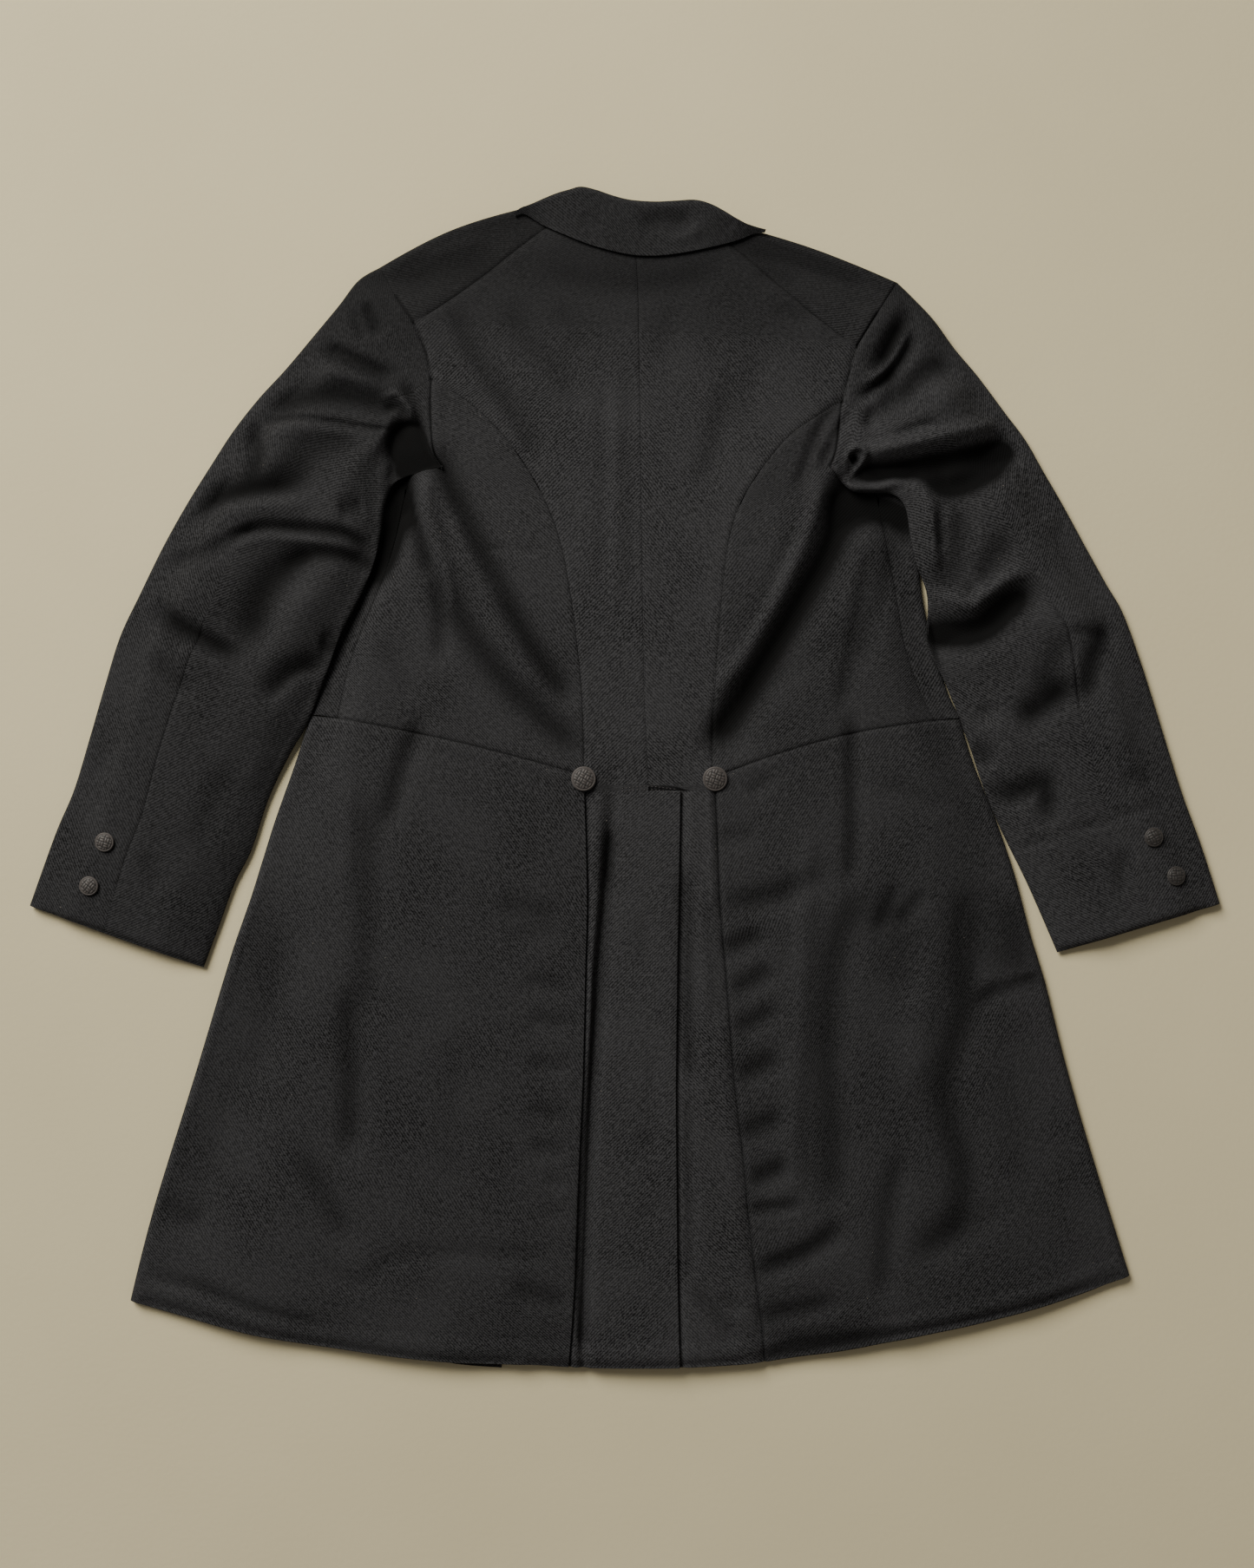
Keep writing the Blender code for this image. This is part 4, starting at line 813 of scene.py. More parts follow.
def cloth(name, grid, rows, columns, lying=None, folds=None, clear=None, cells=None, up=True, slot="wool"):
    """A piece of cloth over a grid of points, filled in finely and one wall thick. The rows and columns
    are the zones for filling in. lying gives how far a point of the grid lies above the body; folds how
    strongly creases mark a sleeve or the collar there, and the lowest that they bring it; clear how far
    above the body a sleeve stays where it lies on it; and cells which parts of the grid are cloth."""
    coarse = np.zeros((len(grid), len(grid[0]), 8))
    for r, row in enumerate(grid):
        for c, point in enumerate(row):
            above = lying(r, c) if lying else None
            marks, least = folds(r, c) if folds else (0.0, 0.0)
            over = clear[c] if clear else 0.0
            coarse[r, c] = (point.x, point.y, point.z, above or 0.0, above is not None, marks, over, least)
    fine, row_owner = fill_between(coarse, rows)
    fine, column_owner = fill_between(np.swapaxes(fine, 0, 1), columns)
    fine = np.swapaxes(fine, 0, 1)
    x, y, z, above, on, marks, over, least = np.moveaxis(fine, 2, 0)
    on = np.clip(on, 0, 1)
    # Painted shade: darker where the body's creases and seam grooves are deep, and where a sleeve's or the
    # collar's own creases are.
    painted_shade = on * (crease_height(BODY_CREASES, x, y) + SEAM_SHADE * np.minimum(seam_height(x, y), 0))
    if lying:
        z = on * (body_top(x, y) + above) + (1 - on) * z
    if folds:
        marks = np.clip(marks, 0, 1) * (1 - on)
        least = np.minimum(least, z)
        creases = crease_height(SLEEVE_CREASES if slot == "wool" else COLLAR_CREASES, x, y)
        room = z + creases - least
        sunk = least + 0.5 * (room + np.sqrt(room**2 + SOFTEST**2))
        z = z + marks * (sunk - z)
        painted_shade = painted_shade + marks * creases
    if clear:
        share = over_body("left" if name.endswith("left") else "right", x, y) * (1 - on)
        z = z + share * np.maximum(body_top(x, y) + over - z, 0.0)
    painted_shade = np.clip(-painted_shade / SHADE_DEPTH, 0, 1) ** 1.35
    count_rows, count_columns = x.shape
    bm = bmesh.new()
    bmesh.ops.create_grid(bm, x_segments=count_columns - 1, y_segments=count_rows - 1, size=1.0)
    bm.verts.ensure_lookup_table()
    bm.faces.ensure_lookup_table()
    uv = bm.loops.layers.uv.new("Cloth")
    depth = bm.verts.layers.float.new("Painted shade")
    across = np.hypot(np.diff(x, axis=1), np.diff(y, axis=1)) + 0.5 * np.abs(np.diff(z, axis=1))
    across = np.concatenate([np.zeros((count_rows, 1)), np.cumsum(across, axis=1)], axis=1)
    across -= across[:, count_columns // 2][:, None]
    down = np.hypot(np.diff(x, axis=0), np.diff(y, axis=0)).max(axis=1)
    down = np.concatenate([[0.0], np.cumsum(down)])
    for index, vert in enumerate(bm.verts):
        r, c = divmod(index, count_columns)
        vert.co = Vector((x[r, c], y[r, c], z[r, c])) * MM
        vert[depth] = painted_shade[r, c]
    for face in bm.faces:
        for loop in face.loops:
            r, c = divmod(loop.vert.index, count_columns)
            loop[uv].uv = (across[r, c] * MM, down[r] * MM)
    if cells:
        places = [(face, *divmod(face.index, count_columns - 1)) for face in bm.faces]
        unused = [face for face, r, c in places if not cells(row_owner[r], column_owner[c])]
        bmesh.ops.delete(bm, geom=unused, context="FACES")
        bm.faces.ensure_lookup_table()
    bm.normal_update()
    if (bm.faces[0].normal.z > 0) != up:
        bmesh.ops.reverse_faces(bm, faces=bm.faces)
    CLOTHS.append(BVHTree.FromBMesh(bm))
    piece = new_piece(name + "_cloth", bm, WOOLS[name])
    wall = piece.modifiers.new("Cloth", "SOLIDIFY")
    wall.thickness = CLOTH * MM
    wall.offset = -1
    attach(piece, "root")
    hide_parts(name)


def make_back(side):
    """One back panel with its back skirt. The folds of the skirt are extra points in each row, which
    all lie on the panel's edge above the waist."""
    outer = dense(SHOULDER[side]) + flats(ARMHOLE[side][3:5] + BACK_SEAM[side][1:] + (BACK_CORNER[side],))
    centre = dense(CENTRE_SEAM[:5]) + flats(CENTRE_SEAM[5:])
    main = ruled(beside(outer, HALF_GAP[side]), beside(centre, -HALF_GAP[side]), even(8))
    bend(main, [p - Vector((0, SEAM_GAP / 2, 0)) for p in dense(NECK[side])], 4)
    grid = [[row[0]] * 2 + row + [row[-1]] * 2 for row in main]
    steps = [[0.0] * 13 for row in main]
    waist = len(grid) - 1
    for y, left, trough, vent, right in BACK_SKIRT:
        if side == "left":
            sunk = float(smooth((-8 - y) / 42))
            beyond = trough + FOLD_REACH
            lines = [left - PLEAT_UNDER, left - 8, left, (left + trough) / 2, trough, beyond]
            lines += [beyond + (VENT_TOP - beyond) * share for share in even(5)[1:]]
            lines += [(VENT_TOP + vent) / 2, vent]
            rise = [-UNDER_STEP] * 3 + [-0.2 * sunk, -2.6 * sunk] + [0.3] * 8
        else:
            beyond = vent + FOLD_REACH
            lines = [right + PLEAT_UNDER, right + 8, right]
            lines += [right + (beyond - right) * share for share in even(5)[1:]]
            lines += [vent + 0.8, 33, 19.9, 11, 3]
            rise = [-UNDER_STEP, -UNDER_STEP, -CLOSE_STEP, 0.0, 0.0, 0.0, 0.0, -0.4] + [-UNDER_STEP] * 5
        grid.append([Vector((x, y if y > -480 else curve(HEM, x), 0)) for x in lines])
        steps.append(rise)
    last = len(grid[0]) - 1

    def cells(r, c):
        return r > waist or 2 <= c < last - 2

    rows = ((waist, 8, "both"), (waist + 1, 6, ""), (len(grid) - 1, 13, "end"))
    columns = ((2, 3, ""), (last - 2, 7, "both"), (last, 4, "end"))
    cloth("back_" + side, grid, rows, columns, lying=lambda r, c: steps[r][c], cells=cells)


def make_side_back(side):
    """One side body."""
    hole = flats(ARMHOLE[side])
    seam = flats(BACK_SEAM[side])
    outer = [at(hole, 4.03)] + hole[5:] + flats(SIDE_SEAM[side])
    inner = [at(seam, 0.03), seam[1], seam[2], seam[3], at(seam, 3.5), seam[4], at(seam, 4.5)] + seam[5:]
    grid = ruled(beside(outer, HALF_GAP[side]), beside(inner, -HALF_GAP[side]), even(7))
    edge = [Vector((p.x, curve(WAIST[side], p.x) + SEAM_GAP / 2, 0)) for p in grid[-1]]
    grid.reverse()
    bend(grid, edge, 3)
    last = len(grid) - 1
    rows = ((last - len(hole[5:]), 11, "both"), (last, 9, "both"))
    cloth("side_back_" + side, grid, rows, ((7, 8, "both"),), lying=lambda r, c: 0.0)


def scye(side):
    """The armhole as points in space: its top from the neck side of the arm down, its
    folded edge at the shoulder, and its lower layer."""
    line = flats(ARMHOLE[side])
    inward = (line[1] - line[0]).normalized() * FOLD_REACH
    top = on_top([line[0] + inward] + line[1:])
    bottom = [flat(top[0])] + line[1:5]
    return top, half_round(top[0], line[0], bottom[0]), bottom


def on_lapel(side, line):
    """The line on the ground, raised where it lies over the lapel."""
    edge = sorted((row[3], row[2]) for row in LAPEL[side])
    lifted = []
    for p in line:
        over = smooth(((p.x - curve(edge, p.y)) * SIGN[side] + 40) / 20)
        lifted.append(raised(p, float(LAPEL_LIFT * over * smooth((p.y - 130) / 20))))
    return lifted


def make_front(side):
    """One front, from the shoulder seam over the shoulder and round the side to the side seam."""
    top, _, bottom = scye(side)
    count = 8
    seam = beside(dense(SHOULDER[side])[::-1], HALF_GAP[side])
    outline = shoulder_fold(side)
    neck = NECK_END[side]
    seam[-1] = flat(neck[0])
    inner_line = []
    for i, point in enumerate(outline):
        way = outline[min(i + 1, count)] - outline[max(i - 1, 0)]
        inward = Vector((way.y, -way.x, 0)).normalized()
        if inward.y > 0:
            inward = -inward
        inner_line.append(point + inward * (FOLD_REACH - 2.5 * (i / count) ** 3))
    inner_line[0] = flat(top[0])
    inner_line[-1] = flat(neck[2])
    half = []
    for i, share in enumerate(even(count)):
        middle = seam[i].lerp(inner_line[i], 0.5)
        middle += (flat(top[1]) - seam[0].lerp(inner_line[0], 0.5)) * (1 - share) ** 2
        middle += (flat(neck[1]) - seam[-1].lerp(inner_line[-1], 0.5)) * share**2
        half.append(middle)
    over = on_top(inner_line)
    below = on_lapel(side, inner_line)
    rounds = [half_round(a, b, c) for a, b, c in zip(over, outline, below)]
    rows = [on_top(seam), on_top(half), over] + [list(row) for row in zip(*rounds)] + [below]
    free = len(rows)
    folds = flats(SIDE_FOLD[side])
    seams = flats(SIDE_SEAM[side])
    inside = [fold + (seam - fold).normalized() * FOLD_REACH for fold, seam in zip(folds, seams)]
    arm = beside([below[0]] + bottom[1:] + flats(FRONT_SCYE[side]) + inside, HALF_GAP[side])[1:]
    for row in ruled(arm, flats(FRONT_EDGE[side][1:]), even(count)):
        rows.append(on_lapel(side, row))
    wrapped = len(rows) - len(folds)
    rows[:wrapped] = [[row[0]] * 5 + row for row in rows[:wrapped]]
    starts = on_top(beside(seams, -HALF_GAP[side]))
    for r, start, over, fold in zip(range(wrapped, len(rows)), starts, on_top(inside), folds):
        rows[r] = [start, over] + half_round(over, fold, rows[r][0]) + rows[r]
    for c, point in enumerate(rows[-1]):
        rows[-1][c] = point + Vector((0, SEAM_GAP / 2 + (0.8 if 1 <= c <= 5 else 0), 0))
    for r in range(free - 1):
        rows[r][5] = rows[r][5] + Vector((HALF_GAP[side], 0, 0))

    def lying(r, c):
        on_shoulder = r < 3 and c >= 5
        on_side = r >= wrapped and c <= 1
        return 0.0 if on_shoulder or on_side else None

    def cells(r, c):
        return c >= 5 or r >= wrapped

    last = len(rows) - 1
    down = ((2, 10, "start"), (6, 3, ""), (wrapped, 3, ""), (last, 6, "end"))
    across = ((1, 6, "start"), (5, 3, ""), (13, 4, ""))
    cloth("front_" + side, rows, down, across, lying=lying, cells=cells)


def make_lapel(side):
    """One lapel, flat on the ground, from its roll line to its edge."""
    grid = ruled(flats(LAPEL[side]), flats(row[2:] for row in LAPEL[side]), even(4))
    cloth("lapel_" + side, grid, ((len(grid) - 1, 4, ""),), ((4, 4, ""),), up=False)


def make_skirt(side):
    """One skirt, from the pleat edge over the top, round the side and along the ground."""
    steps = 11
    pleat, fold, front = (dense([row[i : i + 2] for row in SKIRT[side]]) for i in (0, 2, 4))
    last = len(pleat) - 1
    rows = []

    def straight_between(start, end, x):
        return start.y + (end.y - start.y) * (x - start.x) / (end.x - start.x)

    for r in range(last + 1):
        over = fold[r] + (pleat[r] - fold[r]).normalized() * FOLD_REACH
        from_waist = max(1 - r / 6, 0) ** 2
        from_hem = max(1 - (last - r) / 6, 0) ** 2

        def shifted(point):
            waist_line = straight_between(pleat[0], fold[0], point.x)
            hem_line = straight_between(pleat[last], fold[last], point.x)
            rise = from_waist * (curve(WAIST[side], point.x) - SEAM_GAP / 2 - waist_line)
            rise += from_hem * (curve(HEM, point.x) - hem_line)
            return Vector((point.x, point.y + rise, 0))

        line = on_top(shifted(pleat[r].lerp(over, share)) for share in even(steps))
        outer = shifted(fold[r])
        under = flat(line[-1])
        ground = []
        for share in even(8)[1:]:
            point = under.lerp(front[r], share)
            if share < 1:
                hem_line = straight_between(fold[last], front[last], point.x)
                point.y += from_hem * (curve(UNDER_HEM[side], point.x) - hem_line)
            ground.append(point)
        rows.append(line + half_round(line[-1], outer, under) + [under] + ground)
    columns = ((steps, 8, "start"), (steps + 4, 3, ""), (steps + 12, 3, ""))
    top = [0.0] * (steps + 1) + [None] * 12
    cloth("skirt_" + side, rows, ((last, 7, "both"),), columns, lying=lambda r, c: top[c])


def sleeve_row(row, pulled):
    """Points round one section of a sleeve: top from the hind-arm seam to the outer fold,
    that fold, the bottom, the inner fold, and the top back to the seam. The top's points come
    with how strongly creases mark them."""
    outer = flat(row[0:2])
    inner = flat(row[2:4])
    seam, high, lift = row[4:]
    width = (inner - outer).length
    first = FOLD_REACH / width
    last = 1 - first

    def under(share):
        return float(lift * smooth((share - 0.55) / 0.4))

    def over(share):
        full = smooth((share - first) * width / OUTER_ROUND) * smooth((last - share) * width / INNER_ROUND)
        height = EDGE_HIGH + (high - EDGE_HIGH) * full + under(share) * 0.9
        height = max(height, under(share) + SLEEVE_LEAST)
        point = outer.lerp(inner, share)
        return raised(point, height + (top_at(point) - height) * pulled)

    def marks(share):
        return float(smooth((share - first) * width / 9)), under(share) + TROUGH_LEAST

    shares = [first + (seam - first) * s for s in even(4)] + [seam + (last - seam) * s for s in even(5)[1:]]
    top = [over(s) for s in shares]
    marked = [marks(s) for s in shares]
    grounds = [first + (last - first) * s for s in even(8)]
    bottom = [raised(outer.lerp(inner, s), under(s)) for s in grounds]
    outer_fold = half_round(top[0], outer, bottom[0])
    return top, outer_fold, bottom, half_round(top[-1], inner, bottom[-1]), marked


def make_sleeve(side):
    """Both pieces of one sleeve, from the armhole to the cuff. Its first rows take after the armhole."""
    outward = Vector((-SIGN[side], 0, 0))
    top, fold, bottom = scye(side)
    hole = [p + outward * away for p, away in zip(top, [SEAM_GAP / 2] * 8 + [0.2, 0.4])]
    fold, bottom = ([p + outward * SEAM_GAP / 2 for p in line] for line in (fold, bottom))
    scoop = flats(FRONT_SCYE[side])
    low = raised(scoop[0], 0.8) + outward * 1.8
    lower = raised(scoop[1], 3.0) + outward * 2.2
    pit = raised(hole[-1], PIT_HIGH)
    bottom += [low, lower, lower.lerp(pit, 0.5), pit]
    tip = flat(hole[-1]) + outward * 0.2 + Vector((0, -0.5, 0))
    rings = [[hole, fold, bottom, half_round(hole[-1], tip, pit), [(0.0, 9.0)] * 10]]
    pulls = [0.75, 0.45, 0.2, 0.05] + [0.0] * len(SLEEVE[side])
    rings += [sleeve_row(row, pulled) for row, pulled in zip(SLEEVE[side], pulls)]
    for i, share in ((1, 0.55), (2, 0.22)):
        over = rings[i][0]
        start, end = over[0].copy(), over[-1].copy()
        for k in range(1, 9):
            straight = hole[0].lerp(hole[-1], (over[k] - start).length / (end - start).length)
            over[k] = over[k] + (flat(hole[k]) - flat(straight)) * share
    upper = [over[4::-1] + outer + ground[:8] for over, outer, ground, _, _ in rings]
    under = [over[4:] + inner + ground[:6:-1] for over, _, ground, inner, _ in rings]
    line = [row[0] for row in upper]
    for rows, away in ((upper, -HALF_GAP[side]), (under, HALF_GAP[side])):
        for row, point in zip(rows, beside(line, away)):
            row[0] = point
    upper_marks = [marked[4::-1] for *_, marked in rings]
    under_marks = []
    for *_, marked in rings:
        share, least = marked[9]
        under_marks.append(marked[4:] + [(part * share, least) for part in (0.9, 0.6, 0.3)])

    def lies_on_body(columns):
        return lambda r, c: 0.0 if r == 0 and c < columns else None

    def marked_by(marks):
        return lambda r, c: marks[r][c] if c < len(marks[r]) else (0.0, 0.0)

    rows = ((len(upper) - 1, 11, "both"),)
    columns = ((4, 9, "start"), (8, 3, ""), (15, 3, ""))
    clear = [4.5] * 5 + [0.5] * 11
    cloth("top_sleeve_" + side, upper, rows, columns, lies_on_body(5), marked_by(upper_marks), clear)
    columns = ((5, 9, "start"), (9, 3, ""), (10, 3, ""))
    clear = [4.5] * 6 + [4.0, 2.5, 1.0, 0.5, 0.5]
    cloth("under_sleeve_" + side, under, rows, columns, lies_on_body(6), marked_by(under_marks), clear)


def seen_at(point):
    """Where the photograph shows a point on top of the coat, over the ground."""
    middle = flat(VIEW_MIDDLE)
    return middle + (point - middle) * SEEN


def drawn_in(point, share):
    """Where a point high on the coat lies, from where the photograph shows it over the ground. The
    share is its height over that of the coat's top."""
    middle = flat(VIEW_MIDDLE)
    return middle + (point - middle) / (1 + (SEEN - 1) * share)


def make_collar():
    """Stand and fall, one piece of cloth folded at the roll line."""
    stand = flats(NECK_END["left"][2::-1])
    stand += dense(NECK["left"])[1:] + dense(NECK["right"])[-2:0:-1]
    stand += flats(NECK_END["right"][:3])
    count = len(stand) - 1
    roll = dense([row[:2] for row in COLLAR])
    edge = dense([row[2:] for row in COLLAR])
    full = 2
    rows = []
    for i, seam in enumerate(stand):
        place = i / count * (len(roll) - 1)
        outer = drawn_in(at(roll, place), 0.5)
        fall = drawn_in(at(edge, place), 1.0)
        seam = seam + Vector((0, SEAM_GAP / 2 + 0.1, 0))
        from_end = min(i, count - i)
        width = (fall - outer).length
        reach = 0.5 + min(4.5, width * 0.4) * float(smooth((from_end - full) / 3))
        over = outer + (fall - outer).normalized() * reach
        end = 1 - float(smooth(from_end / 3))
        high = ROLL_TOP - ROLL_TOP_LESS * end
        rest = top_at(fall) + FALL_HIGH
        line = [raised(fall.lerp(over, s), rest + (high - rest) * s) for s in even(3)]
        under = raised(line[-1], ROLL_BOTTOM - ROLL_BOTTOM_LESS * end)
        back = raised(seam, top_at(seam) - CLOTH)
        rows.append(line + half_round(line[-1], outer, under) + [under, under.lerp(back, 0.5), back])

    def cells(r, c):
        return c < 3 or full <= r < count - full

    def marks(r, c):
        return (1.0 if 1 <= c <= 2 and 0 < r < count else 0.0), 0.0

    columns = ((3, 9, "start"), (7, 3, ""), (9, 4, ""))
    cloth("collar", rows, ((count, 7, ""),), columns, folds=marks, cells=cells, slot="collar_wool")


def surface_below(x, y):
    """Height of the highest cloth at a point, looking past the gap of a seam."""
    best = 0.0
    for dx, dy in ((0, 0), (0.8, 0), (-0.8, 0), (0, 0.8), (0, -0.8)):
        for tree in CLOTHS:
            hit = tree.ray_cast(Vector((x + dx, y + dy, 100)) * MM, Vector((0, 0, -1)))
            if hit[0] is not None:
                best = max(best, hit[0].z / MM)
    return best


def woven_height(x, y, turn):
    """Relief of a button's cover: short cords in blocks, each block turned across the next."""
    u = x * math.cos(turn) - y * math.sin(turn)
    v = x * math.sin(turn) + y * math.cos(turn)
    column = math.floor(u / BLOCK)
    row = math.floor(v / BLOCK)
    in_u = u / BLOCK - column
    in_v = v / BLOCK - row
    along, across = (in_u, in_v) if (column + row) % 2 else (in_v, in_u)
    cord = abs(math.sin(math.pi * across * CORDS))
    crown = math.sin(math.pi * along) ** 0.5
    return RELIEF * crown * (0.3 + 0.7 * cord)


def make_button(name, size, turn, cover):
    """A domed button covered in woven cords, with a smooth turned rim, sewn down where its solid lies."""
    low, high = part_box(name)
    x = (low[0] + high[0]) / 2 / MM
    y = (low[1] + high[1]) / 2 / MM
    half = size / 2
    reach = half * 0.9
    slope_x = (surface_below(x + reach, y) - surface_below(x - reach, y)) / (2 * reach)
    slope_y = (surface_below(x, y + reach) - surface_below(x, y - reach)) / (2 * reach)
    normal = Vector((-slope_x, -slope_y, 1)).normalized()
    turned = Vector((0, 0, 1)).rotation_difference(normal).to_matrix().to_4x4()
    rim = 0.84 * half
    profile = [(0.0, 0.0), (0.86 * half, 0.0), (0.97 * half, 0.5), (half, 1.1), (0.985 * half, 1.7)]
    profile += [(0.93 * half, 2.15), (0.88 * half, 2.2), (rim, RIM_HIGH)]
    for step in range(1, FACE_RINGS + 1):
        away = rim * (1 - step / FACE_RINGS)
        profile.append((away, RIM_HIGH + 1.25 * (1 - (away / rim) ** 2)))
    bm = bmesh.new()
    verts = [bm.verts.new(Vector((r, 0, z)) * MM) for r, z in profile]
    edges = [bm.edges.new(pair) for pair in zip(verts, verts[1:])]
    whole = {"cent": (0, 0, 0), "axis": (0, 0, 1), "angle": math.tau, "use_merge": True}
    bmesh.ops.spin(bm, geom=verts + edges, steps=96, **whole)
    bmesh.ops.remove_doubles(bm, verts=bm.verts, dist=0.000005)
    bmesh.ops.recalc_face_normals(bm, faces=bm.faces)
    gap = bm.verts.layers.float.new("Painted gap shade")
    for vert in bm.verts:
        away = math.hypot(vert.co.x, vert.co.y) / MM
        if vert.co.z / MM > RIM_HIGH - 0.01 and away < rim:
            fade = float(smooth((rim - away) / 0.7))
            relief = woven_height(vert.co.x / MM, vert.co.y / MM, turn) * fade
            vert.co.z += relief * MM
            # Painted shade: the cover is marked darker where its relief is low, between the cords.
            vert[gap] = float(smooth(1.1 - relief / 0.42)) * fade
    bmesh.ops.transform(bm, matrix=turned, verts=bm.verts)
    foot = Vector((x * MM, y * MM, low[2] + (high[2] - low[2]) * 0.12))
    bmesh.ops.translate(bm, verts=bm.verts, vec=foot)
    piece = new_piece(name + "_covered", bm, cover)
    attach(piece, "root")
    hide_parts(name)


def make_stitches(name, line, length, gap, rows):
    """Short stitches of twist lying on the cloth along a line, in one or more rows."""
    path = dense(line, 10)
    places = [0.0]
    for a, b in zip(path, path[1:]):
        places.append(places[-1] + (b - a).length)
    xs = [p.x for p in path]
    ys = [p.y for p in path]
    bm = bmesh.new()
    start = 0.0
    while start + length < places[-1]:
        for row in rows:
            ends = []
            for place in (start, start + length):
                x = float(np.interp(place, places, xs))
                y = float(np.interp(place, places, ys)) + row
                ends.append(Vector((x, y, surface_below(x, y) + 0.1)))
            middle = (ends[0] + ends[1]) / 2
            way = (ends[1] - ends[0]).normalized()
            made = bmesh.ops.create_icosphere(bm, subdivisions=1, radius=1.0)
            for vert in made["verts"]:
                vert.co = Vector((vert.co.x * length * 0.55, vert.co.y * 0.33, vert.co.z * 0.3))
            turn = Vector((1, 0, 0)).rotation_difference(way).to_matrix()
            bmesh.ops.rotate(bm, verts=made["verts"], cent=(0, 0, 0), matrix=turn)
            bmesh.ops.translate(bm, verts=made["verts"], vec=middle)
        start += length + gap
    bmesh.ops.scale(bm, vec=(MM, MM, MM), verts=bm.verts)
    piece = new_piece(name, bm, silk_twist())
    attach(piece, "root")


def linear(code):
    """An sRGB hex colour as linear red, green, blue and alpha."""
    parts = [int(code[i : i + 2], 16) / 255 for i in (1, 3, 5)]
    return tuple(p / 12.92 if p <= 0.04045 else ((p + 0.055) / 1.055) ** 2.4 for p in parts) + (1.0,)


def shade(code, tone):
    """A hex colour made darker or lighter by a factor."""
    return tuple(part * tone for part in linear(code)[:3]) + (1.0,)


def add(tree, kind, output, inputs, **settings):
    """Adds a node with its settings, sets or links its inputs, and gives one of its outputs."""
    made = tree.nodes.new("ShaderNode" + kind)
    for name, value in settings.items():
        setattr(made, name, value)
    for name, value in inputs.items():
        if isinstance(value, bpy.types.NodeSocket):
            tree.links.new(value, made.inputs[name])
        else:
            made.inputs[name].default_value = value
    return made.outputs[output]


def noise(tree, place, scale, detail, rough=0.5):
    inputs = {"Vector": place, "Scale": scale, "Detail": detail, "Roughness": rough}
    return add(tree, "TexNoise", "Fac", inputs)


def join(tree, first, way, second):
    """Two values added or multiplied."""
    return add(tree, "Math", 0, {0: first, 1: second}, operation=way)


def ranged(tree, value, low, high, first=0.0, last=1.0, way="LINEAR"):
    """A value between low and high as one between first and last."""
    inputs = {"Value": value, "From Min": low, "From Max": high, "To Min": first, "To Max": last}
    return add(tree, "MapRange", "Result", inputs, interpolation_type=way)


def mix_colour(tree, share, first, second):
    return add(tree, "Mix", 2, {"Factor": share, 6: first, 7: second}, data_type="RGBA")


def bump(tree, strength, distance, height, **below):
    """The normal of a relief, over the one below it if that is given."""
    inputs = {"Strength": strength, "Distance": distance, "Height": height, **below}
    return add(tree, "Bump", "Normal", inputs)


def new_material(name, rough, specular, sheen):
    """A material with its tree and its shader."""
    made = bpy.data.materials.new(name)
    made.use_nodes = True
    shader = made.node_tree.nodes["Principled BSDF"]
    shader.inputs["Roughness"].default_value = rough
    shader.inputs["Specular IOR Level"].default_value = specular
    shader.inputs["Sheen Weight"].default_value = sheen
    return made, made.node_tree, shader


